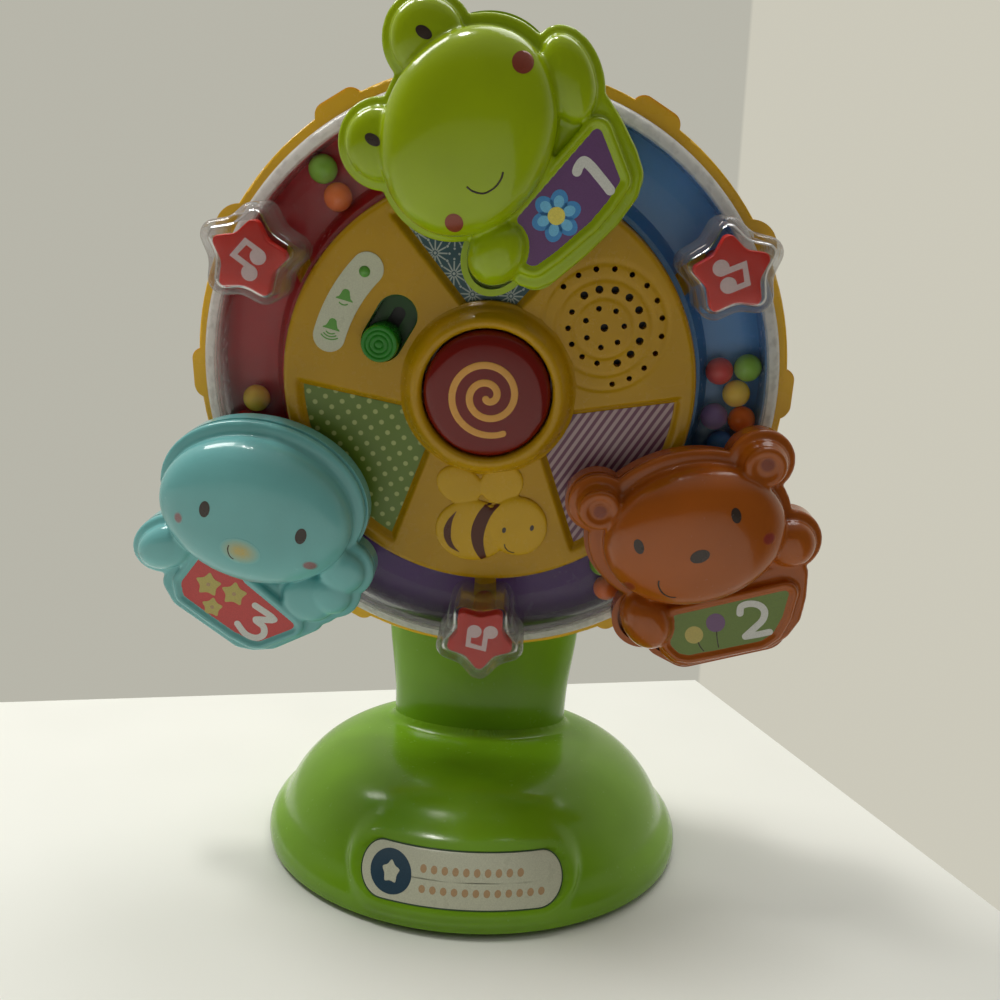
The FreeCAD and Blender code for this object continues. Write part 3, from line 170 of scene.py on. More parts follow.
def clear(name, haze, wall=0.0, ripples=0.12, pitch=140, shine=0.4, edge_on=CLEAR):
    """Clear moulded styrene: it lets nearly everything through, shines, and turns milky where the wall is seen edge on.
    haze is how milky it gets, wall the haze of the upright outer wall of the ring, edge_on the tint of what is seen
    through a slanting wall."""
    g = Graph(name)
    ripple = g.node("Bump", Strength=ripples, Distance=0.0004, Height=g.noise(pitch, 2))
    gloss = g.node("BsdfGlossy", Roughness=0.06, Normal=ripple.outputs[0])
    fresnel, facing = g.node("Fresnel", IOR=1.45).outputs[0], g.node("LayerWeight", Blend=0.5).outputs["Facing"]
    see = g.node("BsdfTransparent", Color=g.mix(g.math("POWER", facing, 4.0), CLEAR, edge_on))
    glow = g.node("BsdfTranslucent", Color=(0.97, 0.96, 0.93, 1))
    haze = g.spread(g.math("POWER", facing, 3.0), 0.0, 1.0, 0.0, haze)
    if wall:
        outside = g.spread(length(g, *g.plane()), *RING_WALL, 0.0, wall)
        haze = g.math("MAXIMUM", haze, g.math("MULTIPLY", outside, g.cloud(260, 2, 0.35, 0.65, 0.8, 1.15), clamp=True))
    shiny, milk, milky = (g.node("MixShader", Fac=k) for k in (g.spread(fresnel, 0.034, 0.4, 0.012, shine), 0.5, haze))
    for node, one, two in ((shiny, see, gloss), (milk, g.shader, glow), (milky, shiny, milk)):
        g.link(one.outputs[0], node.inputs[1])
        g.link(two.outputs[0], node.inputs[2])
    g.link(milky.outputs[0], g.tree.nodes["Material Output"].inputs[0])
    tint = g.mix(g.noise(90, 3), (0.90, 0.89, 0.87), (0.97, 0.96, 0.94))
    return g.set(Base_Color=tint, Roughness=g.cloud(300, 4, 0.5, 0.8, 0.1, 0.25, 0.7), IOR=1.45)


def printed(name, rgb, rough=0.3):
    """Ink on a smooth film: a very fine mottling."""
    g = Graph(name)
    tint = g.mix(g.cloud(2500, 2, 0.35, 0.65), shade(rgb, 0.93), shade(rgb, 1.05))
    return g.set(Base_Color=tint, Roughness=g.cloud(200, 3, 0.3, 0.7, rough, rough + 0.12))


def rubber(name, rgb):
    g = Graph(name)
    tint = g.mix(g.noise(120, 4), shade(rgb, 0.8), shade(rgb, 1.1))
    g.bump(g.noise(1500, 3), 0.2)
    return g.set(Base_Color=tint, Roughness=g.cloud(80, 3, 0.3, 0.7, 0.5, 0.7))


def soft_spot(name, skin, rgb, centre, sizes, turn, edge, core):
    """A sprayed oval that fades into the plastic round it. centre is (u, v) in the wheel's plane."""
    g = Graph(name)
    u, v = g.plane()
    a, b = g.turned(g.math("SUBTRACT", u, centre[0]), g.math("SUBTRACT", v, centre[1]), turn, sizes)
    fade = g.spread(length(g, a, b), 1 - edge / max(sizes), 1.0, core, 0.0)
    tint = g.mix(g.math("MULTIPLY", fade, g.cloud(1800, 2, 0.3, 0.7, 0.9, 1.1), clamp=True), skin, rgb)
    gloss = g.cloud(90, 2, 0.3, 0.7, 0.2, 0.3)
    return g.set(Base_Color=tint, Roughness=gloss, Specular_IOR_Level=0.3, Coat_Weight=0.3)


def fold(g, value, pitch):
    """Distance from the nearest multiple of pitch, signed, in mm."""
    share = g.math("FRACT", g.math("ADD", g.math("DIVIDE", value, pitch), 0.5))
    return g.math("MULTIPLY", g.math("SUBTRACT", share, 0.5), pitch)


def length(g, a, b):
    return g.math("SQRT", g.math("ADD", g.math("MULTIPLY", a, a), g.math("MULTIPLY", b, b)))


def film(g, share, back, front):
    """Printed film: front where share is 1, back elsewhere."""
    return g.set(Base_Color=g.mix(share, back, front), Roughness=g.cloud(60, 2, 0.3, 0.7, 0.28, 0.42))


def dotted(name, back, front, pitch, size, turn, start):
    """Small dots in staggered rows."""
    g = Graph(name)
    a, b = (g.math("SUBTRACT", x, first) for x, first in zip(g.turned(*g.plane(), turn), start))
    one = length(g, fold(g, a, pitch), fold(g, b, pitch))
    two = length(g, *(fold(g, g.math("ADD", x, pitch / 2), pitch) for x in (a, b)))
    return film(g, g.spread(g.math("MINIMUM", one, two), size - 0.15, size + 0.15, 1.0, 0.0), back, front)


def striped(name, back, front, pitch, share, turn):
    g = Graph(name)
    away = g.math("ABSOLUTE", fold(g, g.turned(*g.plane(), turn)[1], pitch))
    half = pitch * share / 2
    return film(g, g.spread(away, half - 0.1, half + 0.1, 1.0, 0.0), back, front)


def starbursts(name, back, front, pitch):
    """Rows of little round bursts: a spot in the middle, spokes and a dot at the end of each."""
    g = Graph(name)
    u, v = g.plane()
    total, k = 0.0, pitch / 8.6
    for shift in (0.0, pitch / 2):
        a, b = (fold(g, g.math("ADD", x, shift), pitch) for x in (u, v))
        reach = length(g, a, b)
        wave = g.math("ABSOLUTE", fold(g, g.math("ARCTAN2", b, a), math.pi / 6))
        across = g.math("MULTIPLY", wave, reach)
        inside = g.math("MULTIPLY", g.spread(reach, 0.55 * k, 0.65 * k), g.spread(reach, 2.7 * k, 2.8 * k, 1.0, 0.0))
        rays = g.math("MULTIPLY", g.spread(across, 0.14, 0.28, 1.0, 0.0), inside)
        ends = g.spread(length(g, g.math("SUBTRACT", reach, 3.2 * k), across), 0.3, 0.4, 1.0, 0.0)
        hub = g.spread(reach, 0.25 * k, 0.4 * k, 1.0, 0.0)
        for part in (rays, ends, hub):
            total = g.math("MAXIMUM", part, total)
    return film(g, total, back, front)


GREEN = (0.178, 0.37, 0.010)
FROG = (0.33, 0.45, 0.002)
BIRD = (0.185, 0.49, 0.50)
BEAR = (0.38, 0.09, 0.006)
YELLOW = (0.49, 0.272, 0.002)
RIM = (0.82, 0.47, 0.02)
WHITE = (0.69, 0.69, 0.67)
INK = (0.035, 0.02, 0.015)

M = {
    "green_shell": plastic("stand_green", GREEN, 0.2, glow=0.05),
    "yellow_panel": plastic("panel_yellow", YELLOW, 0.26, glow=0.05),
    "yellow_shell": plastic("rim_yellow", RIM, 0.24, glow=0.05),
    "suction_rubber": rubber("cup_rubber", (0.08, 0.085, 0.07)),
    "steel": metal("steel", (0.55, 0.55, 0.56)),
    "contact_brass": metal("brass", (0.72, 0.52, 0.25)),
    "cell_metal": metal("cell_metal", (0.35, 0.36, 0.38)),
    "white_label": printed("label_white", (0.56, 0.57, 0.44), 0.25),
    "white_plastic": plastic("white_plastic", (0.75, 0.75, 0.72), 0.35),
    "black_plastic": plastic("black_plastic", (0.02, 0.02, 0.022), 0.4),
    "board_green": plastic("board_green", (0.02, 0.10, 0.04), 0.4),
    "blue_track": plastic("track_blue", (0.085, 0.27, 0.62), 0.22),
    "red_track": plastic("track_red", (0.46, 0.02, 0.03), 0.22),
    "purple_track": plastic("track_purple", (0.12, 0.05, 0.22), 0.22),
    "clear_cover": clear("clear_cover", 0.15, 1.0),
    "red_insert": plastic("insert_red", (0.60, 0.015, 0.006), 0.2),
    "blue_print": starbursts("print_blue", (0.008, 0.062, 0.085), (0.42, 0.47, 0.46), 12.0),
    "green_print": dotted("print_green", (0.125, 0.205, 0.020), (0.42, 0.48, 0.17), 5.66, 0.8, -14.75, (0.83, -1.48)),
    "purple_print": striped("print_purple", (0.15, 0.045, 0.095), (0.47, 0.34, 0.37), 2.25, 0.5, 59.0),
    "red_lens": plastic("button_red", (0.17, 0.005, 0.003), 0.12, coat=0.2),
    "slot_green": plastic("slot_green", (0.012, 0.075, 0.008), 0.3),
    "knob_green": plastic("knob_green", (0.02, 0.21, 0.015), 0.25),
    "frog_green": plastic("frog_green", FROG, 0.16, glow=0.06, coat=0.3),
    "bird_blue": plastic("bird_blue", BIRD, 0.18, glow=0.06, coat=0.3),
    "bear_orange": plastic("bear_orange", BEAR, 0.18, glow=0.06, coat=0.3),
    "frog_sign": printed("sign_purple", (0.13, 0.045, 0.17)),
    "bird_sign": printed("sign_red", (0.58, 0.06, 0.06)),
    "bear_sign": printed("sign_green", (0.15, 0.225, 0.042)),
    "bead_mix": plastic("bead_any", (0.8, 0.4, 0.1), 0.2),
    "ink": printed("ink_dark", INK, 0.2),
    "white": printed("ink_white", WHITE),
    "cheek": printed("ink_cheek", (0.235, 0.042, 0.022), 0.2),
    "gold": plastic("spiral_gold", (0.72, 0.36, 0.08), 0.3),
    "leaf": printed("ink_green", (0.10, 0.32, 0.04)),
    "brown": plastic("bee_brown", (0.085, 0.02, 0.008), 0.3),
    "bee": plastic("bee_yellow", (0.60, 0.355, 0.008), 0.26),
    "petal": printed("ink_blue", (0.05, 0.26, 0.62)),
    "petal_light": printed("ink_light_blue", (0.16, 0.50, 0.80)),
    "sun": printed("ink_yellow", (0.80, 0.68, 0.12)),
    "star_ink": printed("ink_gold", (0.52, 0.43, 0.12)),
    "balloon": printed("ink_purple", (0.17, 0.085, 0.20)),
    "pink_white": printed("ink_pink_white", (0.80, 0.62, 0.64)),
    "clear_star": clear("clear_star", 0.25, 0.0, 0.6, 260, 0.55, (0.45, 0.43, 0.43)),
    # painted shade: near-black green for the shadow in the narrow groove round the stand's label
    "seam": printed("groove_shade_green", (0.02, 0.06, 0.01)),
    "label_blue": printed("ink_slate", (0.02, 0.055, 0.09)),
    "label_tan": printed("ink_tan", (0.46, 0.30, 0.16)),
}

slot_of = {item["node"]: item["material_slot"] for item in frame["record"]["subparts"]}
for node, obj in NODES.items():
    obj.data.materials.clear()
    obj.data.materials.append(M[slot_of[node]])


# ---- mesh building ----
def add(name, data):
    obj = bpy.data.objects.new(name, data)
    bpy.context.scene.collection.objects.link(obj)
    return obj


def raw_mesh(name, verts, faces, place, weld=False):
    mesh = bpy.data.meshes.new(name)
    mesh.from_pydata([place @ Vector(v) for v in verts], [], faces)
    bm = bmesh.new()
    bm.from_mesh(mesh)
    if weld:
        bmesh.ops.remove_doubles(bm, verts=bm.verts, dist=1e-7)
    bmesh.ops.recalc_face_normals(bm, faces=bm.faces)
    bm.to_mesh(mesh)
    bm.free()
    return mesh


def modified(obj):
    """Mesh of an object with its modifiers applied."""
    bpy.context.view_layer.update()
    return bpy.data.meshes.new_from_object(obj.evaluated_get(bpy.context.evaluated_depsgraph_get()))


def piece(name, verts, faces, material, body, place=WHEEL, slot=None, smooth=None, replaces=()):
    return dress(raw_mesh(name, verts, faces, place, True), name, material, body, smooth, replaces)


def dress(mesh, name, material, body, smooth=None, replaces=()):
    """Makes a piece of a mesh. smooth is the angle from which an edge is sharp, None for none."""
    obj = add(name, mesh)
    mesh.materials.clear()
    mesh.materials.append(M[material] if isinstance(material, str) else material)
    mesh.shade_smooth()
    if smooth:
        mesh.set_sharp_from_angle(angle=math.radians(smooth))
    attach(obj, body)
    if replaces:
        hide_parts(*replaces)
    return obj


def skin(rows, around=False, tips=(None, None)):
    """Skin over closed rows of as many points each. The rows close on one another, or each end on its tip or a cap."""
    n, count = len(rows[0]), len(rows)
    verts, faces = [p for row in rows for p in row], []
    for r in range(count if around else count - 1):
        a, b = r * n, (r + 1) % count * n
        faces += [(a + k, a + (k + 1) % n, b + (k + 1) % n, b + k) for k in range(n)]
    for tip, end in () if around else zip(tips, (range(n - 1, -1, -1), range((count - 1) * n, count * n))):
        if tip is None:
            faces.append(tuple(end))
        else:
            faces += [(end[k], end[(k + 1) % n], len(verts)) for k in range(n)]
            verts.append(tip)
    return verts, faces


def lathe(profile, steps=128, at=(0, 0, 0)):
    """Closed profile of (radius, height) turned about w; a radius of 0 closes on the axis."""
    rows = []
    for a in (2 * math.pi * k / steps for k in range(steps)):
        rows.append([(at[0] + r * math.cos(a), at[1] + r * math.sin(a), at[2] + z) for r, z in profile])
    verts, faces = skin(rows, True)
    count = len(profile)
    on_axis = [profile[i][0] == profile[(i + 1) % count][0] == 0 for i in range(count)]
    return verts, [face for face in faces if not on_axis[face[0] % count]]


def bend(p, corner, q, steps):
    """Curve from p to q that is drawn towards the corner."""
    return [(1 - t) ** 2 * p + 2 * t * (1 - t) * corner + t * t * q for t in (k / steps for k in range(steps + 1))]


def rounded(points, radius, steps=5):
    """Profile points with each corner rounded."""
    done = []
    count = len(points)
    for i in range(count):
        a, b, c = (Vector(points[(i + d) % count]) for d in (-1, 0, 1))
        one, two = a - b, c - b
        r = min(radius[i] if isinstance(radius, (list, tuple)) else radius, one.length * 0.49, two.length * 0.49)
        if r <= 0 or one.length * two.length == 0:
            done.append(tuple(b))
            continue
        done += [tuple(q) for q in bend(b + one.normalized() * r, b, b + two.normalized() * r, steps)]
    return done


THIN = 0.03  # share of its width that a band keeps at its very ends


def stations(points, half, steps, tip, mitred):
    """Where a band is cut across: point, direction and share of its width, with round ends."""
    pts = [Vector(p) for p in points]
    last = len(pts) - 1
    turns = [math.pi / 2 * j / steps for j in range(1, steps)]
    done = []
    for i, p in enumerate(pts):
        d = (pts[min(i + 1, last)] - pts[max(i - 1, 0)]).normalized()
        mitre = max(0.35, d.dot((p - pts[i - 1]).normalized())) if mitred and 0 < i < last else 1.0
        if i == 0:
            done += [(p - d * half * math.cos(t), d, max(math.sin(t), THIN)) for t in [tip] + turns]
        done.append((p, d, 1 / mitre))
        if i == last:
            done += [(p + d * half * math.sin(t), d, max(math.cos(t), THIN)) for t in turns + [math.pi / 2 - tip]]
    return done


def stroke(points, width, lift, thick, steps=8):
    """Flat band with round ends along points (u, v), lying at height lift."""
    rows = []
    for p, d, share in stations(points, width / 2, steps, 0.08, True):
        n = Vector((-d.y, d.x)) * (width / 2 * share)
        corners = ((lift + thick, 1), (lift + thick, -1), (lift, -1), (lift, 1))
        rows.append([(*(p + n * side), z) for z, side in corners])
    return skin(rows)


def smooth_path(points, per=8):
    """Points joined by a Catmull-Rom curve."""
    pts = [Vector(p) for p in points]
    done = []
    for i in range(len(pts) - 1):
        p0, p1, p2, p3 = pts[max(i - 1, 0)], pts[i], pts[i + 1], pts[min(i + 2, len(pts) - 1)]
        for k in range(per):
            t = k / per
            done.append(
                0.5 * (2 * p1 + (p2 - p0) * t + (2 * p0 - 5 * p1 + 4 * p2 - p3) * t * t
                       + (3 * p1 - p0 - 3 * p2 + p3) * t ** 3)
            )
    done.append(pts[-1])
    return done


def at_height(outline, z):
    return [(x, y, z) for x, y in outline]


def plate(outline, lift, thick):
    """Flat plate with the outline (u, v)."""
    return skin([at_height(outline, lift), at_height(outline, lift + thick)])


def ring_points(cx, cy, rx, ry, turn=0.0, count=40):
    c, s = polar(1.0, turn)
    ring = [(rx * math.cos(a), ry * math.sin(a)) for a in (2 * math.pi * k / count for k in range(count))]
    return [(cx + x * c - y * s, cy + x * s + y * c) for x, y in ring]


def join(parts):
    verts, faces = [], []
    for v, f in parts:
        base = len(verts)
        verts += list(v)
        faces += [tuple(i + base for i in face) for face in f]
    return verts, faces


# ---- soft moulded forms by voxel union ----
def pillow(cx, cy, rx, ry, low, base, top, turn=0.0, power=2.3):
    """Closed bump: straight sides from low to base, then a full crown up to top."""
    rings, levels = 18, [(1.0, low)]
    for t in (math.pi / 2 * k / rings for k in range(rings)):
        levels.append((math.cos(t) ** (2 / power), base + (top - base) * math.sin(t) ** (2 / power)))
    rows = [at_height(ring_points(cx, cy, rx * share, ry * share, turn, 56), z) for share, z in levels]
    return skin(rows, tips=(None, (cx, cy, top)))


def round_polygon(corners, radius, grow=0.0, steps=6):
    """Polygon, given clockwise, grown outwards by grow, with its outer corners round and its inner ones sharp."""
    n = len(corners)
    pts = [Vector(p) for p in corners]
    done = []
    for i in range(n):
        a, b, c = pts[i - 1], pts[i], pts[(i + 1) % n]
        d1, d2 = (b - a).normalized(), (c - b).normalized()
        n1, n2 = Vector((-d1.y, d1.x)), Vector((-d2.y, d2.x))
        half = (n1 + n2).normalized()
        if d1.x * d2.y - d1.y * d2.x > 0:
            done.append(tuple(b + half * (grow / half.dot(n1))))
            continue
        centre = b - half * (radius / max(half.dot(n1), 0.2))
        a1, a2 = math.atan2(n1.y, n1.x), math.atan2(n2.y, n2.x)
        while a2 > a1:
            a2 -= 2 * math.pi
        for k in range(steps + 1):
            t = a1 + (a2 - a1) * k / steps
            done.append((centre.x + (radius + grow) * math.cos(t), centre.y + (radius + grow) * math.sin(t)))
    return list(reversed(done))


def rope(points, radius, steps=10, closed=True):
    """Round tube along points (u, v, w)."""
    pts = [Vector(p) for p in points]
    n = len(pts)
    rows = []
    for i in range(n):
        ahead, back = (pts[(i + 1) % n], pts[i - 1]) if closed else (pts[min(i + 1, n - 1)], pts[max(i - 1, 0)])
        d = (ahead - back).normalized()
        side = d.cross(Vector((0, 0, 1))).normalized()
        up = side.cross(d)
        turns = [2 * math.pi * k / steps for k in range(steps)]
        rows.append([tuple(pts[i] + side * radius * math.cos(a) + up * radius * math.sin(a)) for a in turns])
    return skin(rows, closed)


def moulded(name, parts, material, body, place, voxel=0.6, replaces=()):
    """Union of closed forms, melted together so that every inner corner is a small fillet."""
    obj = add(name + "_raw", raw_mesh(name + "_raw", *join(parts), Matrix.Identity(4)))
    union = obj.modifiers.new("union", "REMESH")
    union.mode, union.voxel_size = "VOXEL", voxel
    soften = obj.modifiers.new("soften", "SMOOTH")
    soften.factor, soften.iterations = 0.5, 3
    done = modified(obj)
    bpy.data.objects.remove(obj)
    tree = BVHTree.FromPolygons([v.co.copy() for v in done.vertices], [tuple(p.vertices) for p in done.polygons])
    done.transform(place)
    done.name = name
    dress(done, name, material, body, None, replaces)
    return tree


def on_surface(tree, x, y, default=0.0):
    hit = tree.ray_cast(Vector((x, y, 200)), Vector((0, 0, -1)))
    return hit[0].z if hit[0] is not None else default


def decal(name, tree, outline, material, body, place, lift=0.12, sink=0.5, rings=6):
    """Printed patch that follows the surface under it."""
    n = len(outline)
    cx, cy = sum(p[0] for p in outline) / n, sum(p[1] for p in outline) / n

    def row(share, rise):
        spots = [(cx + (x - cx) * share, cy + (y - cy) * share) for x, y in outline]
        return [(x, y, on_surface(tree, x, y) + rise) for x, y in spots]

    rows = [row((r + 1) / rings, lift) for r in range(rings)] + [row(1.0, -sink)]
    tips = [(cx, cy, on_surface(tree, cx, cy) + rise) for rise in (lift, -sink)]
    return piece(name, *skin(rows, tips=tips), material, body, place, smooth=60)


def line_on(name, tree, points, radius, material, body, place):
    path = [(p.x, p.y, on_surface(tree, p.x, p.y) - radius * 0.25) for p in smooth_path(points, 8)]
    piece(name, *rope(path, radius, 8, closed=False), material, body, place)


# ---- stand ----
def arc(a, b, radius, steps, side=1):
    """Points after a up to b on an arc; side 1 has its centre to the left of the way from a to b."""
    a, b = Vector(a), Vector(b)
    way = b - a
    off = Vector((-way.y, way.x)).normalized() * (side * math.sqrt(radius * radius - way.length_squared / 4))
    centre = (a + b) / 2 + off
    start, end = math.atan2(*(a - centre).yx), math.atan2(*(b - centre).yx)
    turns = [start + (end - start) * k / steps for k in range(1, steps + 1)]
    return [(centre.x + radius * math.cos(t), centre.y + radius * math.sin(t)) for t in turns]


def even(points, pitch):
    """The same line with points about pitch apart."""
    done = [tuple(points[0])]
    for a, b in zip(points, points[1:]):
        n = max(1, round(math.dist(a, b) / pitch))
        done += [(a[0] + (b[0] - a[0]) * k / n, a[1] + (b[1] - a[1]) * k / n) for k in range(1, n + 1)]
    return done


def relax(points, rounds):
    pts = [tuple(p) for p in points]
    for _ in range(rounds):
        middle = [tuple((a[j] + 2 * b[j] + c[j]) / 4 for j in (0, 1)) for a, b, c in zip(pts, pts[1:], pts[2:])]
        pts = [pts[0]] + middle + [pts[-1]]
    return pts


def ease(t):
    t = min(max(t, 0.0), 1.0)
    return t * t * (3 - 2 * t)


SKIRT = [(78.4, 2.0)] + arc((78.4, 2.0), (74.6, 12.0), 9.5, 14) + [(72.85, 13.75)]
DOME = relax(even(SKIRT + arc((72.85, 13.75), (40.0, 37.0), 35.7, 60), 0.7), 4)
LABEL_Z, LABEL_HALF_LONG, LABEL_HALF_HIGH = 17.2, 32.5, 7.1
LABEL_SPINE = LABEL_HALF_LONG - LABEL_HALF_HIGH
# pad that carries the label: heights of the dome it lies between, how far it stands proud round the label and
# under it, and how far out it blends into the dome
PAD_LOW, PAD_HIGH, PAD_PROUD, PAD_SEAT, PAD_BLEND, PAD_SLOPE = 5.0, 31.0, 0.75, 0.1, 7.0, 5.0
# oval foot of the neck and the fillet round it
FOOT_Y, FOOT_RX, FOOT_RY, FILLET, FOOT_LOW = 16.25, 34.4, 21.75, 3.4, 20.0


def on_pad(x, z, proud=0.0):
    """Point on the curved pad that carries the label."""
    r = 40.42 + math.sqrt(1600 - (z + 4.02) ** 2) + proud
    return x, -math.sqrt(r * r - x * x), z


def dome_point(r, z, angle):
    c, n = math.cos(angle), math.sin(angle)
    x, y = r * c, r * n
    if n < 0 and PAD_LOW < z < PAD_HIGH:
        d = math.hypot(max(abs(x) - LABEL_SPINE, 0), z - LABEL_Z) - LABEL_HALF_HIGH
        step = math.hypot(*on_pad(0, z, PAD_SEAT if d < 0.1 else PAD_PROUD)[:2]) - r
        if d < PAD_BLEND and step > 0:
            r += step * ease((PAD_BLEND - d) / PAD_SLOPE)
            x, y = r * c, r * n
    if z > FOOT_LOW:
        reach = math.hypot(x / FOOT_RX, (y - FOOT_Y) / FOOT_RY)
        d = max((reach - 1) * math.hypot(x, y - FOOT_Y) / max(reach, 0.2), 0.0)
        if d < FILLET:
            z += FILLET - math.sqrt(FILLET ** 2 - (FILLET - d) ** 2)
    return x, y, z


DOME_STEPS, DOME_TOP = 400, 37.0
outer = DOME + [(float(r), DOME_TOP) for r in np.arange(39.2, 0.5, -0.8)]
inner = [(12.0, 34.4), (38.0, 34.4), (48.0, 32.5), (58.0, 27.5), (66.0, 20.0), (70.2, 13.6), (72.0, 11.5), (74.4, 9.0)]
inner += [(75.8, 4.8), (75.8, 2.0)]
rows = []
for angle in (2 * math.pi * k / DOME_STEPS for k in range(DOME_STEPS)):
    under = [(r * math.cos(angle), r * math.sin(angle), z) for r, z in inner]
    rows.append([dome_point(r, z, angle) for r, z in outer] + under)
piece("dome", *skin(rows, True), "green_shell", "stand", STAND, "green_shell", 50, ["base_shell"])


def stadium(a, b, radius, count=20):
    """Outline of a slot with round ends about a and b."""
    base = math.atan2(*(b - a).yx)
    points = []
    for centre, start in ((b, -math.pi / 2), (a, math.pi / 2)):
        for t in (base + start + math.pi * k / count for k in range(count + 1)):
            points.append((centre.x + radius * math.cos(t), centre.y + radius * math.sin(t)))
    return points


def label_outline(grow):
    """Outline (x, z) of the label, grown by grow."""
    ends = [Vector((side * LABEL_SPINE, LABEL_Z)) for side in (-1, 1)]
    points = stadium(*ends, LABEL_HALF_HIGH + grow, 24)
    return even(points + points[:1], 1.2)[:-1]


rings = []
for grow, proud in [(0.0, -0.2), (0.0, 0.72), (-0.12, 0.86)] + [(-0.35 - 0.66 * k, 0.9) for k in range(11)]:
    share = 1 + grow / LABEL_HALF_HIGH
    ring = []
    for x, z in label_outline(0.0):
        spine = min(max(x, -LABEL_SPINE), LABEL_SPINE)
        ring.append(on_pad(spine + (x - spine) * share, LABEL_Z + (z - LABEL_Z) * share, proud))
    rings.append(ring)
piece("label", *skin(rings), "white_label", "stand", STAND, "white_label", 40, ["label_plate"])
# thin dark rope round the label: painted shade that stands in for the shadow in the groove between label and pad
piece("label_groove_shade", *rope([on_pad(x, z, 0.68) for x, z in label_outline(0.15)], 0.24, 8), "seam", "stand", STAND)


def on_label(name, outlines, ink, lift=0.94):
    """Flat print on the curved label, as rings that shrink towards the middle of each outline."""
    parts = []
    for outline in outlines:
        n = len(outline)
        cx, cz = sum(p[0] for p in outline) / n, sum(p[1] for p in outline) / n
        rings = [[on_pad(x, z, 0.7) for x, z in outline]]
        for share in (1.0, 0.8, 0.6, 0.4, 0.2):
            rings.append([on_pad(cx + (x - cx) * share, cz + (z - cz) * share, lift) for x, z in outline])
        parts.append(skin(rings))
    piece(name, *join(parts), ink, "stand", STAND, smooth=30)


def star_points(cx, cy, tip, dip, turn, soft=3):
    pts = [polar(tip if k % 2 == 0 else dip, turn + 36 * k) for k in range(10)]
    return rounded([(cx + x, cy + y) for x, y in pts], 1.0, soft)


on_label("label_oval", [ring_points(-22.6, LABEL_Z + 0.1, 6.9, 5.7, 0, 48)], "label_blue")
on_label("label_star", [star_points(-22.6, LABEL_Z + 0.2, 3.4, 2.0, 90)], "white_label", 0.99)
dots = []
for rise, count in ((2.5, 10), (-2.6, 12)):
    dots += [ring_points(-12.0 + 3.45 * k, LABEL_Z + rise, 1.05, 1.05, 0, 20) for k in range(count)]
on_label("label_dots", dots, "label_tan")

# ---- wheel panel with raised sectors ----
FLOOR, RISE, PANEL_R = -1.2, 1.6, 66.6
PETALS = (30.0, 150.0, 270.0)
SPEAKER = polar(41.9, 31.6)
# raised sectors: distance along the middle line and half width, near the button and near the rim
PETAL_IN, PETAL_OUT, PETAL_START = (18.0, 18.6), (62.0, 34.6), 15.0
SECTOR_OUT, SECTOR_IN, SLOPE = 60.6, 27.4, 2.6
GROOVES, GROOVE_DEPTH, GROOVE_WIDTH, EDGE_R = (9.4, 15.0, 19.8), 0.32, 0.7, 2.0


def petal_distance(u, v):
    best = 1e9
    lean = (PETAL_OUT[1] - PETAL_IN[1]) / (PETAL_OUT[0] - PETAL_IN[0])
    for angle in PETALS:
        c, s = polar(1.0, angle)
        along, across = u * c + v * s, abs(-u * s + v * c)
        edge = (across - PETAL_IN[1] - (along - PETAL_IN[0]) * lean) / math.hypot(1, lean)
        best = min(best, max(edge, PETAL_START - along))
    return best


def panel_height(u, v):
    r = math.hypot(u, v)
    d = min(petal_distance(u, v), SECTOR_OUT - r, r - SECTOR_IN)
    z = FLOOR + (RISE - FLOOR) * ease((0.6 - d) / SLOPE)
    away = math.dist((u, v), SPEAKER)
    if away < GROOVES[-1] + 1.2:
        for groove in GROOVES:
            z -= GROOVE_DEPTH * math.exp(-((away - groove) / GROOVE_WIDTH) ** 2)
    if r > PANEL_R - EDGE_R:
        drop = EDGE_R - math.sqrt(max(EDGE_R ** 2 - (r - PANEL_R + EDGE_R) ** 2, 0))
        z = min(z, RISE - drop)
    return z


def drill(obj, parts):
    """Cuts closed forms out of a piece of the wheel."""
    tool = add("drill", raw_mesh("drill", *join(parts), WHEEL))
    holes = obj.modifiers.new("holes", "BOOLEAN")
    holes.operation, holes.solver, holes.object = "DIFFERENCE", "EXACT", tool
    done = modified(obj)
    obj.modifiers.remove(holes)
    obj.data = done
    bpy.data.objects.remove(tool)
    done.shade_smooth()
    done.set_sharp_from_angle(angle=math.radians(40))


def rod(x, y, radius, low, high, steps):
    return lathe([(0, low), (radius, low), (radius, high), (0, high)], steps, (x, y, 0))


# sound holes about the middle of the speaker: radius, first angle, step, number, size
HOLES = (
    (18.1, 138.4, -18.0, 13, 0.9), (11.9, 125.8, -23.9, 9, 1.25),
    (11.3, 157.1, 26.4, 5, 0.9), (6.2, 316.0, 51.4, 7, 0.9),
)
SLOT_MID, SLOT_WAY, SLOT_HALF, SLOT_R = Vector(polar(36.8, 150.0)), Vector(polar(1.0, 60.0)), 4.8, 6.6
SLOT_LOW = SLOT_MID - SLOT_WAY * SLOT_HALF
SLOT_ENDS = (SLOT_LOW, SLOT_MID + SLOT_WAY * SLOT_HALF)
INNER, UNDER, SKIRT_LOW = 20.8, -3.4, -16.6
radii = [INNER] + list(np.arange(21.5, 64.5, 0.75)) + [64.6 + 0.25 * k for k in range(8)] + [PANEL_R]
low = [(PANEL_R, SKIRT_LOW), (PANEL_R - 2, SKIRT_LOW), (PANEL_R - 2, UNDER), (INNER, UNDER)]
rows = []
for angle in (2 * math.pi * k / 600 for k in range(600)):
    c, s = math.cos(angle), math.sin(angle)
    rows.append([(r * c, r * s, panel_height(r * c, r * s)) for r in radii] + [(r * c, r * s, z) for r, z in low])
panel = piece("panel", *skin(rows, True), "yellow_panel", "wheel", slot="yellow_panel", replaces=["centre_panel"])
tools = [rod(*SPEAKER, 1.25, -6, 5, 20)]
for reach, start, step, count, size in HOLES:
    for x, y in (polar(reach, start + step * k) for k in range(count)):
        tools.append(rod(SPEAKER[0] + x, SPEAKER[1] + y, size, -6, 5, 16))
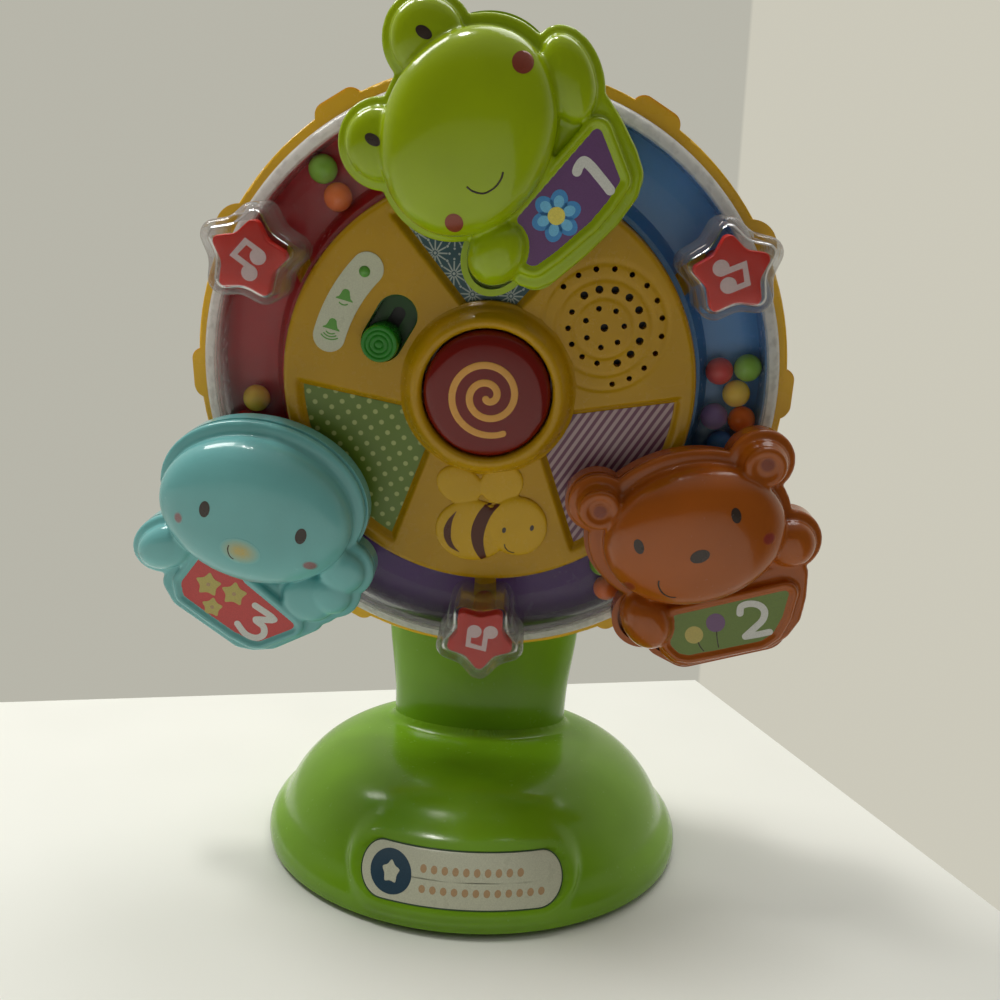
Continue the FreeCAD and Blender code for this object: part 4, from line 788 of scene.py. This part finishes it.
drill(panel, tools + [plate(stadium(*SLOT_ENDS, SLOT_R), -6, 12)])

RING = [(20.8, -1.0), (20.8, 6.9), (22.0, 8.4), (23.9, 8.1), (26.0, 5.4), (27.2, 2.6), (28.6, 1.3), (28.6, -1.0)]
ring = rounded(RING, [0, 1.2, 1.2, 1.8, 2.4, 1.6, 0.3, 0])
piece("button_ring", *lathe(ring, 160), "yellow_panel", "wheel", slot="yellow_panel", replaces=["hub_ring"])

# ---- light button with its spiral ----
CROWN = [(0, 9.5), (6, 9.45), (12, 9.2), (16, 8.8), (18.8, 8.2), (20.0, 7.0), (20.3, 5.6), (20.3, -3.7)]
CROWN += [(22.4, -3.7), (22.4, -5.3), (18.5, -5.3), (18.5, 6.2), (3.4, 6.6), (3.4, -3.5), (0, -3.5)]
piece("button_cap", *lathe(CROWN), "red_lens", "light_button", slot="red_lens", smooth=50, replaces=["light_button"])

TURNS, SPIRAL_STEPS, SPIRAL_START, SPIRAL_R, SPIRAL_SPAN = 2.15, 149, -66, 12.9, 11.9
spiral = []
for t in (k / SPIRAL_STEPS for k in range(SPIRAL_STEPS + 1)):
    angle, r = math.radians(SPIRAL_START) - t * 2 * math.pi * TURNS, SPIRAL_R - SPIRAL_SPAN * t
    x, y = 0.4 + r * math.cos(angle), r * math.sin(angle)
    spiral.append((x, y, float(np.interp(math.hypot(x, y), *zip(*CROWN[:5])))))


def tape(path, width, rise, segments=8):
    """Low rounded band along (u, v, w) with round ends, sitting on the surface the path lies on."""
    rows, up = [], Vector((0, 0, 1))
    for p, d, share in stations(path, width / 2, 6, 0.0, False):
        side = up.cross(d).normalized() * (width / 2 * share)
        arch = rise * min(1, share * 1.5)
        turns = [math.pi * j / segments for j in range(segments + 1)]
        row = [p + side * math.cos(t) + up * arch * math.sin(t) for t in turns]
        rows.append([tuple(q) for q in row + [p - side - up * 0.4, p + side - up * 0.4]])
    return skin(rows)


piece("button_spiral", *tape(spiral, 2.3, 0.14), "gold", "light_button", smooth=60)

# ---- volume slider ----
outer, inner = (stadium(*SLOT_ENDS, radius) for radius in (6.57, 6.2))
liner = [at_height(ring, z) for ring, z in ((outer, 1.55), (inner, 1.35), (inner, -3.35), (outer, -3.35))]
piece("slot_liner", *skin(liner, True), "slot_green", "wheel", smooth=30)
knob = [(0, 6.9), (1.0, 6.9), (1.3, 6.65), (1.6, 6.9), (2.6, 6.95), (2.9, 6.7), (3.2, 6.95), (4.0, 7.0)]
knob += [(4.3, 6.75), (4.6, 7.0), (5.1, 7.05), (5.55, 6.9), (5.75, 6.5), (5.85, 5.5), (5.9, -3.1)]
knob += [(1.8, -3.1), (1.8, -4.3), (0, -4.3)]
piece("slider_knob", *lathe(knob, 72, (*SLOT_LOW, 0)), "knob_green", "volume_knob", slot="knob_green", smooth=45,
      replaces=["volume_knob"])
LABEL_TOP = RISE + 0.3


def at_label(angle):
    return Vector(polar(53.2, angle))


piece("label_dot", *plate(ring_points(*at_label(137.9), 1.75, 1.75), LABEL_TOP, 0.06), "leaf", "wheel")

BELL = [(0.45, 3.2), (1.1, 2.7), (1.4, 1.7), (1.9, 0.5), (2.6, 0.1), (2.8, -0.35)]
BELL += [(-x, y) for x, y in reversed(BELL)]


def bell(name, angle, waves):
    """A bell that leans to the left, with sound waves under it."""
    c, tilt = at_label(angle), math.radians(-14)
    cs, sn = math.cos(tilt), math.sin(tilt)
    parts = [plate([(c.x + x * cs - y * sn, c.y + x * sn + y * cs) for x, y in BELL], LABEL_TOP, 0.06)]
    for r in (2.0 + 1.05 * k for k in range(waves)):
        turns = np.linspace(-0.75, 0.75, 14)
        wave = [(c.x + r * math.sin(t + tilt) * 0.95, c.y - 0.1 - r * math.cos(t + tilt) * 0.85) for t in turns]
        parts.append(stroke(wave, 0.42, LABEL_TOP, 0.06, 6))
    piece(name, *join(parts), "leaf", "wheel", smooth=30)


bell("label_soft", 149.6, 1)
bell("label_loud", 160.6, 3)

# ---- bee on the lower sector ----
BEE = RISE - 0.6
bee_parts = [
    pillow(11.7, -45.8, 10.2, 10.6, BEE, RISE + 0.5, RISE + 2.0, power=2.6),
    pillow(-3.4, -48.2, 12.6, 11.0, BEE, RISE + 0.2, RISE + 1.5, power=2.6),
    pillow(-8.2, -32.2, 8.0, 6.5, BEE, RISE + 0.1, RISE + 1.1, turn=-25, power=2.6),
    pillow(5.9, -31.2, 7.5, 6.8, BEE, RISE + 0.1, RISE + 1.1, turn=40, power=2.6),
]
bee_top = moulded("bee", bee_parts, "bee", "wheel", WHEEL, 0.4, ["bee_relief"])

STRIPES = {
    "front": (
        [(1.0, -38.0), (-1.6, -41.5), (-3.2, -45.5), (-3.7, -49.4), (-2.9, -53.6), (-1.4, -56.6), (0.0, -58.5)],
        [(2.3, -58.4), (1.2, -55.5), (0.6, -52.0), (0.7, -49.1), (1.5, -45.5), (3.2, -41.5), (5.8, -38.0)],
    ),
    "rear": (
        [(-9.0, -41.4), (-11.4, -44.2), (-12.8, -47.2), (-13.0, -48.9), (-12.6, -51.6), (-10.8, -54.4), (-7.5, -56.2)],
        [(-7.5, -56.0), (-9.4, -53.8), (-10.4, -51.2), (-10.5, -48.7), (-10.4, -46.5), (-9.9, -44.0), (-8.8, -41.4)],
    ),
}
for end, sides in STRIPES.items():
    outside, inside = (smooth_path(side, 4) for side in sides)
    rows = []
    for a, b in zip(outside, reversed(inside)):
        strip = [a + (b - a) * (j / 14) for j in range(15)]
        surface = [on_surface(bee_top, *q) for q in strip]
        top = [(*q, z + 0.06) for q, z in zip(strip, surface)]
        rows.append(top + [(*q, z - 0.3) for q, z in zip(reversed(strip), reversed(surface))])
    piece("bee_stripe_" + end, *skin(rows), "brown", "wheel", smooth=60)
for k, (x, y) in enumerate(((7.4, -46.9), (16.7, -45.6))):
    decal("bee_eye_%d" % k, bee_top, ring_points(x, y, 0.66, 1.05, -10, 16), "ink", "wheel", WHEEL, 0.05, 0.2, 3)
smile = [(7.8, -52.0), (8.0, -53.2), (9.1, -54.5), (10.4, -55.0), (11.2, -55.0)]
line_on("bee_smile", bee_top, smile, 0.22, "ink", "wheel", WHEEL)

# ---- clear cover, hollow stars and their red inserts ----
CEILING, STAR_TOP, INSERT_TOP = 15.6, 17.4, 15.2
cover_line = [(67.4, -4.6), (73.0, -0.4)] + arc((73.0, -0.4), (91.0, -2.2), 24.0, 30, -1)
cover_line = relax(even(cover_line + arc((91.0, -2.2), (94.0, -6.0), 4.0, 8, -1) + [(94.0, -13.0)], 0.5), 3)
cover_back = [(92.2, -13.0), (92.2, -6.9)] + arc((92.2, -6.9), (90.1, -4.0), 2.6, 6)
cover_back += arc((90.1, -4.0), (73.9, -2.2), 22.2, 24) + [(69.2, -6.1), (67.4, -6.1)]
piece("cover_ring", *lathe(cover_line + cover_back, 240), "clear_cover", "wheel", slot="clear_cover", smooth=50,
      replaces=["clear_cover"])
cover_r, cover_w = zip(*[p for p in cover_line if p[1] > -9])


def star_outline(tip, dip, radius, spot, grow=0.0, hollow=2.4, steps=6):
    """Five-pointed outline with round tips and soft valleys, about its spot (radius, angle) on the wheel."""
    core = [Vector(polar((dip if k % 2 else tip) - radius, 36 * k)) for k in range(10)]
    off = radius + grow
    done = []
    for k in range(10):
        back, ahead = (core[k] - core[k - 1]).normalized(), (core[(k + 1) % 10] - core[k]).normalized()
        n1, n2 = Vector((back.y, -back.x)), Vector((ahead.y, -ahead.x))
        if k % 2 == 0:
            one, two = math.atan2(n1.y, n1.x), math.atan2(n2.y, n2.x)
            two += 2 * math.pi if two < one else 0
            turns = [one + (two - one) * j / steps for j in range(steps + 1)]
            done += [core[k] + Vector((math.cos(t), math.sin(t))) * off for t in turns]
        else:
            m = (n1 + n2).normalized()
            corner = core[k] + m * (off / m.dot(n1))
            done += bend(corner - back * hollow, corner, corner + ahead * hollow, steps)
    cx, cy = polar(*spot)
    c, s = polar(1.0, spot[1])
    return [(cx + p.x * c - p.y * s, cy + p.x * s + p.y * c) for p in done]


def under_star(x, y):
    r = math.hypot(x, y)
    if r < 91:
        return float(np.interp(r, cover_r, cover_w)) - 0.2
    return -2.4 - 6.1 * ease((r - 91) / 3)


def round_stack(low, top, edge, steps=5):
    """Levels (grow, height) from low up to top with a round edge."""
    turns = [math.pi / 2 * k / steps for k in range(steps + 1)]
    return [(0.0, low)] + [(edge * (math.cos(t) - 1), top - edge + edge * math.sin(t)) for t in turns]


def note(name, spot, shift):
    """Two joined notes, upright when the outward tip points up."""
    cx, cy = polar(*spot)
    c, s = polar(1.0, spot[1] - 90)

    def at(x, y):
        x += shift
        return cx + x * c - y * s, cy + x * s + y * c

    top = INSERT_TOP + 0.01
    parts = [
        stroke([at(-1.6, -2.6), at(-0.9, 3.6), at(4.5, 2.2), at(4.0, -2.8)], 1.7, top, 0.08),
        plate(ring_points(*at(-3.1, -2.8), 2.45, 2.4, 0, 28), top, 0.1),
        plate(ring_points(*at(2.4, -2.9), 2.45, 2.4, 0, 28), top, 0.1),
    ]
    piece(name, *join(parts), "pink_white", "wheel", smooth=30)


STAR, TILE, WALL, STARS_R = (15.4, 11.6, 4.8), (11.5, 7.9, 2.0), 1.8, 82.3  # tip, dip and corner radius of an outline
for side, angle, shift, sink in (("right", 30.8, 0.5, -1.1), ("left", 150.8, -1.1, -1.1), ("bottom", 270.8, -0.6, 0.0)):
    spot = (STARS_R, angle)
    inside = [(grow - WALL, w) for grow, w in reversed(round_stack(None, CEILING, 2.2))]
    shell = []
    for grow, w in inside + round_stack(None, STAR_TOP, 3.6, 7):
        shell.append([(x, y, under_star(x, y) if w is None else w) for x, y in star_outline(*STAR, spot, grow)])
    piece("clear_star_" + side, *skin(shell), "clear_star", "wheel", slot="clear_cover", smooth=60)
    tile = []
    for grow, w in round_stack(11.2, INSERT_TOP, 0.5):
        tile.append([(x, y + sink, w) for x, y in star_outline(*TILE, spot, grow, 1.6)])
    insert = join([skin(tile), rod(*polar(*spot), 4.0, -15.0, 11.3, 40)])
    piece("star_tile_" + side, *insert, "red_insert", "wheel", slot="red_insert", smooth=40,
          replaces=["star_insert_" + side])
    bridge = [(68.9, -6.3), (72.55, -14.88), (80.5, -14.88), (80.5, -15.1), (72.4, -15.1), (68.4, -6.6)]
    rings = [[(*polar(r, angle + turn), w) for r, w in bridge] for turn in np.linspace(-3.0, 3.0, 9)]
    piece("bridge_" + side, *skin(rings), "yellow_panel", "wheel", smooth=30)
    note("note_" + side, spot, shift)

# ---- beads ----
BEAD_INKS = {
    "green": (0.26, 0.50, 0.07), "orange": (0.95, 0.20, 0.03), "yellow": (0.95, 0.62, 0.05), "red": (0.62, 0.03, 0.03),
    "purple": (0.17, 0.06, 0.30), "blue": (0.06, 0.22, 0.58),
}
BEADS = {
    "beads_upper_left": [(1.0, 130.0, "green"), (0.0, 131.3, "orange")],
    "beads_lower_left": [(0.4, 186.7, "yellow"), (1.0, 192.4, "red"), (0.0, 195.6, "blue"), (0.5, 203.6, "green")],
    "beads_right": [
        (0.0, 6.0, "red"), (1.0, 6.4, "green"), (0.65, 0.5, "yellow"), (0.0, -5.6, "purple"), (1.0, -5.4, "orange"),
        (0.5, -12.0, "blue"), (0.0, -17.8, "green"), (1.0, -18.1, "red"), (0.5, -23.6, "yellow"),
    ],
    "beads_bottom": [(1.0, -58.4, "orange"), (0.0, -56.0, "green")],
}
LANE_IN, LANE_OUT, BEAD_W, BEAD_R = 75.6, 84.8, -10.2, 4.5


def ball(x, y, z, r, rings=20):
    profile = [(r * math.sin(math.pi * k / rings), r * math.cos(math.pi * k / rings)) for k in range(rings + 1)]
    profile[0], profile[-1] = (0, r), (0, -r)
    return lathe(profile, 36, (x, y, z))


for ink, rgb in BEAD_INKS.items():
    M["bead_" + ink] = plastic("bead_" + ink, rgb, 0.2, glow=0.05)
for group, items in BEADS.items():
    for k, (across, angle, ink) in enumerate(items):
        x, y = polar(LANE_IN + across * (LANE_OUT - LANE_IN), angle)
        bead = piece("%s_%d" % (group, k), *ball(x, y, BEAD_W, BEAD_R), "bead_" + ink, group, slot="bead_mix")
        if k == 0:
            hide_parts(group)

# ---- animals ----
MARGIN, SPLIT, FLANGE, SEATS_R = 2.7, 11.0, 14.6, 80.0
# head: centre and half widths of the dome; rim: the same of the flange round it
# lobes: centre, half widths, turn, height, and whether a flange goes round it
# sign: outline of the flange of the sign, clockwise; print: outline of the picture on it
CRITTERS = {
    "frog": {
        "seat": 90.0, "turn": 63.0, "skin": "frog_green",
        "head": (-7.0, 4.7, 28.5, 23.6), "rim": (-6.2, 5.2, 31.6, 25.4),
        "lobes": [
            (-21.3, 25.2, 10.0, 10.0, 0, 0.8, 1), (8.9, 26.3, 10.2, 10.2, 0, 0.8, 1),
            (18.8, -12.2, 11.6, 7.2, 50, 0.8, 1), (-30.7, -18.0, 10.4, 8.7, -6, 1.05, 0),
        ],
        "sign": [(-34.0, -17.0), (18.0, -16.0), (21.3, -22.8), (17.5, -30.6), (12.9, -38.3), (8.6, -43.5), (2.5, -45.5),
                 (-6.9, -44.5), (-19.1, -41.0), (-30.5, -36.6), (-35.0, -33.0), (-36.3, -28.0)],
        "print": [(-20.0, -17.4), (14.2, -25.0), (3.7, -39.3), (-3.9, -38.7), (-10.6, -37.4), (-22.7, -33.0),
                  (-29.4, -29.8), (-30.2, -26.4)],
    },
    "bird": {
        "seat": 210.0, "turn": -13.0, "skin": "bird_blue",
        "head": (-2.8, -0.3, 31.2, 23.9), "rim": (-2.6, 2.7, 33.8, 25.5),
        "lobes": [
            (-29.6, -21.6, 10.4, 7.4, 38, 0.9, 1), (28.0, -14.4, 7.6, 7.6, 0, 0.7, 1),
            (26.0, -23.5, 7.2, 6.8, 0, 0.7, 1), (19.5, -27.0, 9.0, 8.2, 0, 0.6, 1),
        ],
        "sign": [(-28.0, -22.0), (-2.0, -22.0), (27.4, -32.8), (24.8, -38.6), (11.4, -50.4), (4.6, -53.0),
                 (-1.4, -53.4), (-25.3, -42.8), (-30.3, -36.2)],
        "print": [(-18.5, -21.0), (-6.5, -21.0), (-2.2, -26.2), (17.9, -37.1), (16.8, -39.5), (6.7, -47.6),
                  (3.7, -48.1), (-3.0, -46.4), (-12.0, -42.5), (-21.9, -37.9), (-23.7, -32.9)],
    },
    "bear": {
        "seat": 330.0, "turn": 18.0, "skin": "bear_orange",
        "head": (-1.2, 0.8, 28.9, 22.7), "rim": (-1.8, 1.2, 32.8, 26.6),
        "lobes": [
            (-27.8, 17.3, 7.1, 7.2, 0, 0.8, 1), (24.5, 18.0, 7.7, 7.7, 0, 0.8, 1),
            (28.4, -10.4, 7.5, 7.8, 0, 0.9, 1), (-21.9, -26.3, 8.6, 10.8, 10, 1.05, 0),
        ],
        "ear_rings": ((-27.8, 17.3), (24.5, 18.0)),
        "sign": [(-20.0, -20.0), (31.6, -17.0), (32.5, -22.2), (30.3, -31.4), (27.1, -39.1), (22.0, -44.2),
                 (15.9, -46.9), (-14.0, -46.8), (-17.6, -44.4), (-20.4, -39.8)],
        "print": [(-14.0, -25.0), (25.1, -25.0), (25.1, -27.4), (21.5, -35.3), (17.4, -40.6), (12.8, -42.6),
                  (-11.4, -42.1), (-14.8, -40.4), (-17.2, -36.2)],
    },
}
EYE, EYE_OFF, SEEN_AT = Vector((14.2, 66.8)), 293.7, 14.0  # camera in the wheel's frame; w the points were read at


def prism(outline, low, top, edge=0.8):
    """Slab with a rounded top edge."""
    cx, cy = sum(p[0] for p in outline) / len(outline), sum(p[1] for p in outline) / len(outline)

    def drawn_in(x, y, inset):
        share = inset / math.hypot(x - cx, y - cy)
        return x - (x - cx) * share, y - (y - cy) * share

    levels = ((0, low), (0, top - edge), (edge * 0.3, top - edge * 0.3), (edge, top))
    return skin([[(*drawn_in(x, y, inset), z) for x, y in outline] for inset, z in levels])


class Critter:
    """An animal in its own plane: x and y from its pin before it is turned, w up from the wheel's plane."""

    def __init__(self, who):
        spec = CRITTERS[who]
        self.who, self.turn, self.rgb = who, spec["turn"], {"frog": FROG, "bird": BIRD, "bear": BEAR}[who]
        seat = polar(SEATS_R, spec["seat"])
        self.own = Matrix.Translation((*seat, 0)) @ Matrix.Rotation(math.radians(self.turn), 4, "Z")
        self.place = WHEEL @ self.own
        parts = [pillow(*spec["rim"], SPLIT, FLANGE - 2.0, FLANGE + 0.2, power=5)]
        parts.append(pillow(*spec["head"], SPLIT, FLANGE + 3.0, FLANGE + 15.0))
        for cx, cy, rx, ry, turn, share, rim in spec["lobes"]:
            if rim:
                parts.append(pillow(cx, cy, rx + MARGIN, ry + MARGIN, SPLIT, FLANGE - 2.0, FLANGE + 0.2, turn, 5))
            base = FLANGE + 0.6 if rim else FLANGE - 2.6
            parts.append(pillow(cx, cy, rx, ry, SPLIT, base, FLANGE + 0.6 + 6.2 * share, turn))
        parts.append(prism(round_polygon(spec["sign"], 4.6), SPLIT, FLANGE, 1.3))
        parts.append(prism(round_polygon(spec["print"], 2.0, 2.2), SPLIT, FLANGE + 1.9))
        parts.append(rope(at_height(round_polygon(spec["print"], 2.0, 1.2), FLANGE + 1.6), 1.35))
        for ear in spec.get("ear_rings", ()):
            parts.append(rope(at_height(ring_points(*ear, 5.0, 5.0, 0, 32), FLANGE + 4.6), 1.7))
        slot = spec["skin"]
        self.tree = moulded(who + "_shell", parts, slot, who, self.place, 0.6, [who + "_front"])
        self.print_z, sign = FLANGE + 2.0, who + "_sign"
        piece(who + "_print", *plate(round_polygon(spec["print"], 2.0), self.print_z - 0.3, 0.3), sign, who, self.place,
              slot=sign, smooth=30, replaces=[sign])

    def seen(self, x, y, w=None):
        """Moves a point read off the photograph at w 14 to where that line of sight meets the surface."""
        p = self.own @ Vector((x, y, 0))
        height = 20.0 if w is None else w
        for _ in range(6):
            share = (EYE_OFF - height) / (EYE_OFF - SEEN_AT)
            own = self.own.inverted() @ (EYE + (p.xy - EYE) * share).to_3d()
            if w is not None:
                break
            height = on_surface(self.tree, own.x, own.y, height)
        return own.x, own.y

    def oval(self, name, x, y, rx, ry, material, turn=0.0):
        outline = ring_points(*self.seen(x, y), rx, ry, turn, 28)
        decal(self.who + "_" + name, self.tree, outline, material, self.who, self.place, 0.07, 0.5, 5)

    def soft(self, name, x, y, rx, ry, rgb, edge, core=0.9):
        """Sprayed oval that fades towards its edge."""
        cx, cy = self.seen(x, y)
        full = self.who + "_" + name
        mat = soft_spot(full + "_ink", self.rgb, rgb, self.own @ Vector((cx, cy, 0)), (rx, ry), self.turn, edge, core)
        decal(full, self.tree, ring_points(cx, cy, rx, ry, 0, 32), mat, self.who, self.place, 0.06)

    def line(self, name, points, radius=0.28):
        line_on(self.who + "_" + name, self.tree, [self.seen(*p) for p in points], radius, "ink", self.who, self.place)

    def flat(self, name, parts, material):
        piece(self.who + "_" + name, *join(parts), material, self.who, self.place, smooth=30)

    def mark(self, x, y):
        """The same for a point of the print."""
        return self.seen(x, y, self.print_z)


frog, bird, bear = (Critter(who) for who in CRITTERS)

frog.oval("eye_0", -21.5, 28.0, 1.5, 2.4, "ink")
frog.oval("eye_1", 9.8, 28.1, 1.5, 2.4, "ink")
frog.oval("cheek_0", -30.0, -2.9, 2.6, 2.6, "cheek")
frog.oval("cheek_1", 16.6, 0.8, 2.9, 2.9, "cheek")
frog.line("smile", [(-19.4, -1.3), (-19.6, -3.4), (-18.6, -6.4), (-15.8, -8.3), (-12.9, -8.8), (-10.8, -8.4)])
bird.oval("eye_0", -20.3, -6.0, 1.7, 2.7, "ink")
bird.oval("eye_1", 12.1, -6.4, 1.7, 2.7, "ink")
bird.soft("beak", -6.4, -17.5, 6.6, 4.6, (0.56, 0.40, 0.09), 5.4, 0.85)
bird.line("smile", [(-10.4, -16.2), (-10.5, -17.6), (-10.0, -19.1), (-9.0, -20.3), (-8.0, -20.7)], 0.24)
bird.soft("cheek_0", -28.2, -11.4, 1.7, 2.2, (0.30, 0.10, 0.11), 0.9, 0.85)
bird.soft("cheek_1", 17.1, -15.8, 2.5, 1.9, (0.30, 0.10, 0.11), 0.9, 0.85)
bear.oval("eye_0", -18.7, -0.1, 1.5, 2.4, "ink")
bear.oval("eye_1", 13.5, 2.6, 1.5, 2.4, "ink")
bear.oval("nose", -0.4, -8.4, 3.1, 2.1, "ink", 8)
bear.line("smile", [(-15.0, -13.5), (-15.5, -15.1), (-15.0, -17.7), (-13.3, -19.8), (-11.0, -20.7)])
bear.soft("cheek_0", -25.2, -13.0, 2.4, 2.4, (0.22, 0.02, 0.02), 1.0)
bear.soft("cheek_1", 22.1, -7.8, 2.4, 2.4, (0.22, 0.02, 0.02), 1.0)
bear.soft("ear_0", -28.0, 14.6, 2.6, 2.6, (0.20, 0.032, 0.010), 0.9)
bear.soft("ear_1", 26.1, 16.7, 2.6, 2.6, (0.20, 0.032, 0.010), 0.9)

# prints on the signs
INK_Z = frog.print_z  # the same for all three


def petals(cx, cy, reach, size, count, start):
    return [ring_points(cx + reach * math.cos(a), cy + reach * math.sin(a), size, size * 0.82, math.degrees(a), 20)
            for a in [math.radians(start + 360 * k / count) for k in range(count)]]


def figure(points, width):
    """A digit drawn with a round pen: one flat plate with round ends for each short step."""
    path = smooth_path(points, 4)
    steps = enumerate(zip(path, path[1:]))
    return join([plate(stadium(a, b, width / 2, 10), INK_Z, 0.05 + 0.0016 * k) for k, (a, b) in steps])


fx, fy = frog.mark(-13.7, -27.7)
frog.flat("flower", [plate(p, INK_Z, 0.05) for p in petals(fx, fy, 4.2, 3.1, 6, 20)], "petal")
frog.flat("flower_light", [plate(p, INK_Z + 0.05, 0.03) for p in petals(fx, fy, 3.9, 1.8, 6, 20)], "petal_light")
frog.flat("flower_eye", [plate(ring_points(fx, fy, 2.5, 2.5), INK_Z + 0.08, 0.04)], "sun")
DIGITS = (
    (frog, 2.8, [[(-0.4, -26.6), (1.2, -26.4), (2.9, -27.0), (2.6, -29.6), (1.6, -32.6), (0.8, -35.0), (-0.1, -37.4)]]),
    (bear, 2.3, [
        [(8.2, -31.7), (9.1, -29.3), (12.0, -29.0), (14.9, -30.4), (16.1, -33.0), (14.9, -35.9), (11.6, -38.3),
         (8.4, -40.4)],
        [(8.4, -40.6), (12.3, -40.8), (16.3, -40.8)],
    ]),
    (bird, 2.3, [
        [(2.1, -35.6), (9.3, -38.9), (3.3, -40.7), (6.3, -42.7), (6.8, -45.6), (4.5, -47.6), (0.7, -47.1),
         (-2.5, -44.1)],
    ]),
)
for critter, width, lines in DIGITS:
    critter.flat("digit", [figure([critter.mark(*p) for p in line], width) for line in lines], "white")
stars, eyes = [], []
for x, y, size in ((-14.6, -32.4, 4.8), (-5.6, -33.4, 4.8), (-12.0, -40.4, 4.0)):
    stars.append(plate(star_points(*bird.mark(x, y), size, size * 0.58, 20), INK_Z, 0.05))
    eyes.append(plate(ring_points(*bird.mark(x, y), 0.7, 0.7, 0, 16), INK_Z + 0.05, 0.04))
bird.flat("stars", stars, "star_ink")
bird.flat("star_eyes", eyes, "label_tan")
bear.flat("balloon_0", [plate(ring_points(*bear.mark(-8.0, -35.8), 3.0, 3.2), INK_Z, 0.05)], "star_ink")
bear.flat("balloon_1", [plate(ring_points(*bear.mark(-0.2, -33.1), 3.1, 3.4), INK_Z, 0.05)], "balloon")
strings = []
for a, b, c in (((-7.2, -38.9), (-6.9, -40.6), (-6.1, -42.5)), ((-0.5, -36.4), (-0.9, -39.4), (-1.0, -42.3))):
    strings.append(stroke(smooth_path([bear.mark(*a), bear.mark(*b), bear.mark(*c)], 5), 0.35, INK_Z, 0.05, 4))
bear.flat("strings", strings, "ink")

# ---- stage, light and camera ----
LENS, MIDDLE = 927.27, 500  # focal length and middle of a frame 1000 wide, in pixels
RIGHT = Vector((0.99810, 0.03498, 0.05066))
DOWN = Vector((0.05485, -0.13184, -0.98975))
AHEAD_WAY = Vector((-0.02794, 0.99065, -0.13351))
SPOT = Vector((0.01420, -0.34955, 0.17697))
TABLE = (1.6, 2.4)


def sight(px, py):
    return (AHEAD_WAY + RIGHT * ((px - MIDDLE) / LENS) + DOWN * ((py - MIDDLE) / LENS)).normalized()


def on_table(px, py):
    way = sight(px, py)
    return SPOT + way * (-SPOT.z / way.z)


corner = on_table(695, 680)
left_way = (on_table(10, 702) - corner).normalized() * TABLE[0]
right_way = (on_table(990, 904) - corner).normalized() * TABLE[1]
table = [corner, corner + left_way, corner + left_way + right_way, corner + right_way]
mesh = bpy.data.meshes.new("table")
mesh.from_pydata([tuple(p) for p in table], [], [(0, 1, 2, 3)])
g = Graph("table")
paint = g.mix(g.noise(3, 3), (0.77, 0.775, 0.73), (0.83, 0.835, 0.79))
mesh.materials.append(g.set(Base_Color=paint, Roughness=g.cloud(20, 3, 0.3, 0.7, 0.5, 0.7)))
add("table", mesh)


def lamp(name, spot, aim, size, power, rgb=(1, 1, 1)):
    data = bpy.data.lights.new(name, "AREA")
    data.shape = "RECTANGLE"
    data.size, data.size_y = size
    data.energy = power
    data.color = rgb
    obj = add(name, data)
    obj.location = spot
    obj.rotation_euler = (Vector(aim) - Vector(spot)).to_track_quat("-Z", "Y").to_euler()


lamp("key", (-0.70, 0.12, 1.2), (0, 0, 0.1), (0.45, 0.45), 7.6, (1.0, 0.99, 0.95))
lamp("spot", (-0.33, -0.16, 1.4), (0, 0, 0.1), (0.22, 0.12), 4.0, (1.0, 0.98, 0.94))
lamp("top", (0.25, 0.30, 1.3), (0, 0, 0.1), (0.7, 0.7), 4.5)

world = bpy.data.worlds.new("world")
bpy.context.scene.world = world
g = Graph("world", world)


def along(direction, low, high):
    """0 to 1 as the ray's direction turns towards the given one."""
    dot = g.node("VectorMath")
    dot.operation = "DOT_PRODUCT"
    g.feed(dot.inputs[0], g.coord)
    g.feed(dot.inputs[1], direction)
    return g.spread(dot.outputs["Value"], low, high)


# two plain pale walls that meet in a corner; the room in front of them is dim and its ceiling is lit
seam = sight(699, 680).cross(sight(752.5, 0)).normalized()
walls = g.mix(along(seam, -0.0015, 0.0015), (0.475, 0.465, 0.40), (0.60, 0.58, 0.49))
front = g.mix(along((0, -1, 0), -0.1, 0.35), walls, (0.10, 0.092, 0.072))
room = g.mix(along((0, 0, 1), 0.5, 0.9), front, (0.45, 0.45, 0.43))
seen = g.mix(g.node("LightPath").outputs["Is Camera Ray"], room, walls)
g.link(seen, g.tree.nodes["Background"].inputs["Color"])

camera = bpy.data.cameras.new("camera")
camera.lens, camera.sensor_width = LENS * 36 / 1000, 36.0
camera.clip_start = 0.01
eye = add("camera", camera)
turn = Matrix((RIGHT, -DOWN, -AHEAD_WAY)).transposed().to_4x4()
eye.matrix_world = Matrix.Translation(SPOT) @ turn
bpy.context.scene.camera = eye
bpy.context.scene.view_settings.view_transform = "Standard"
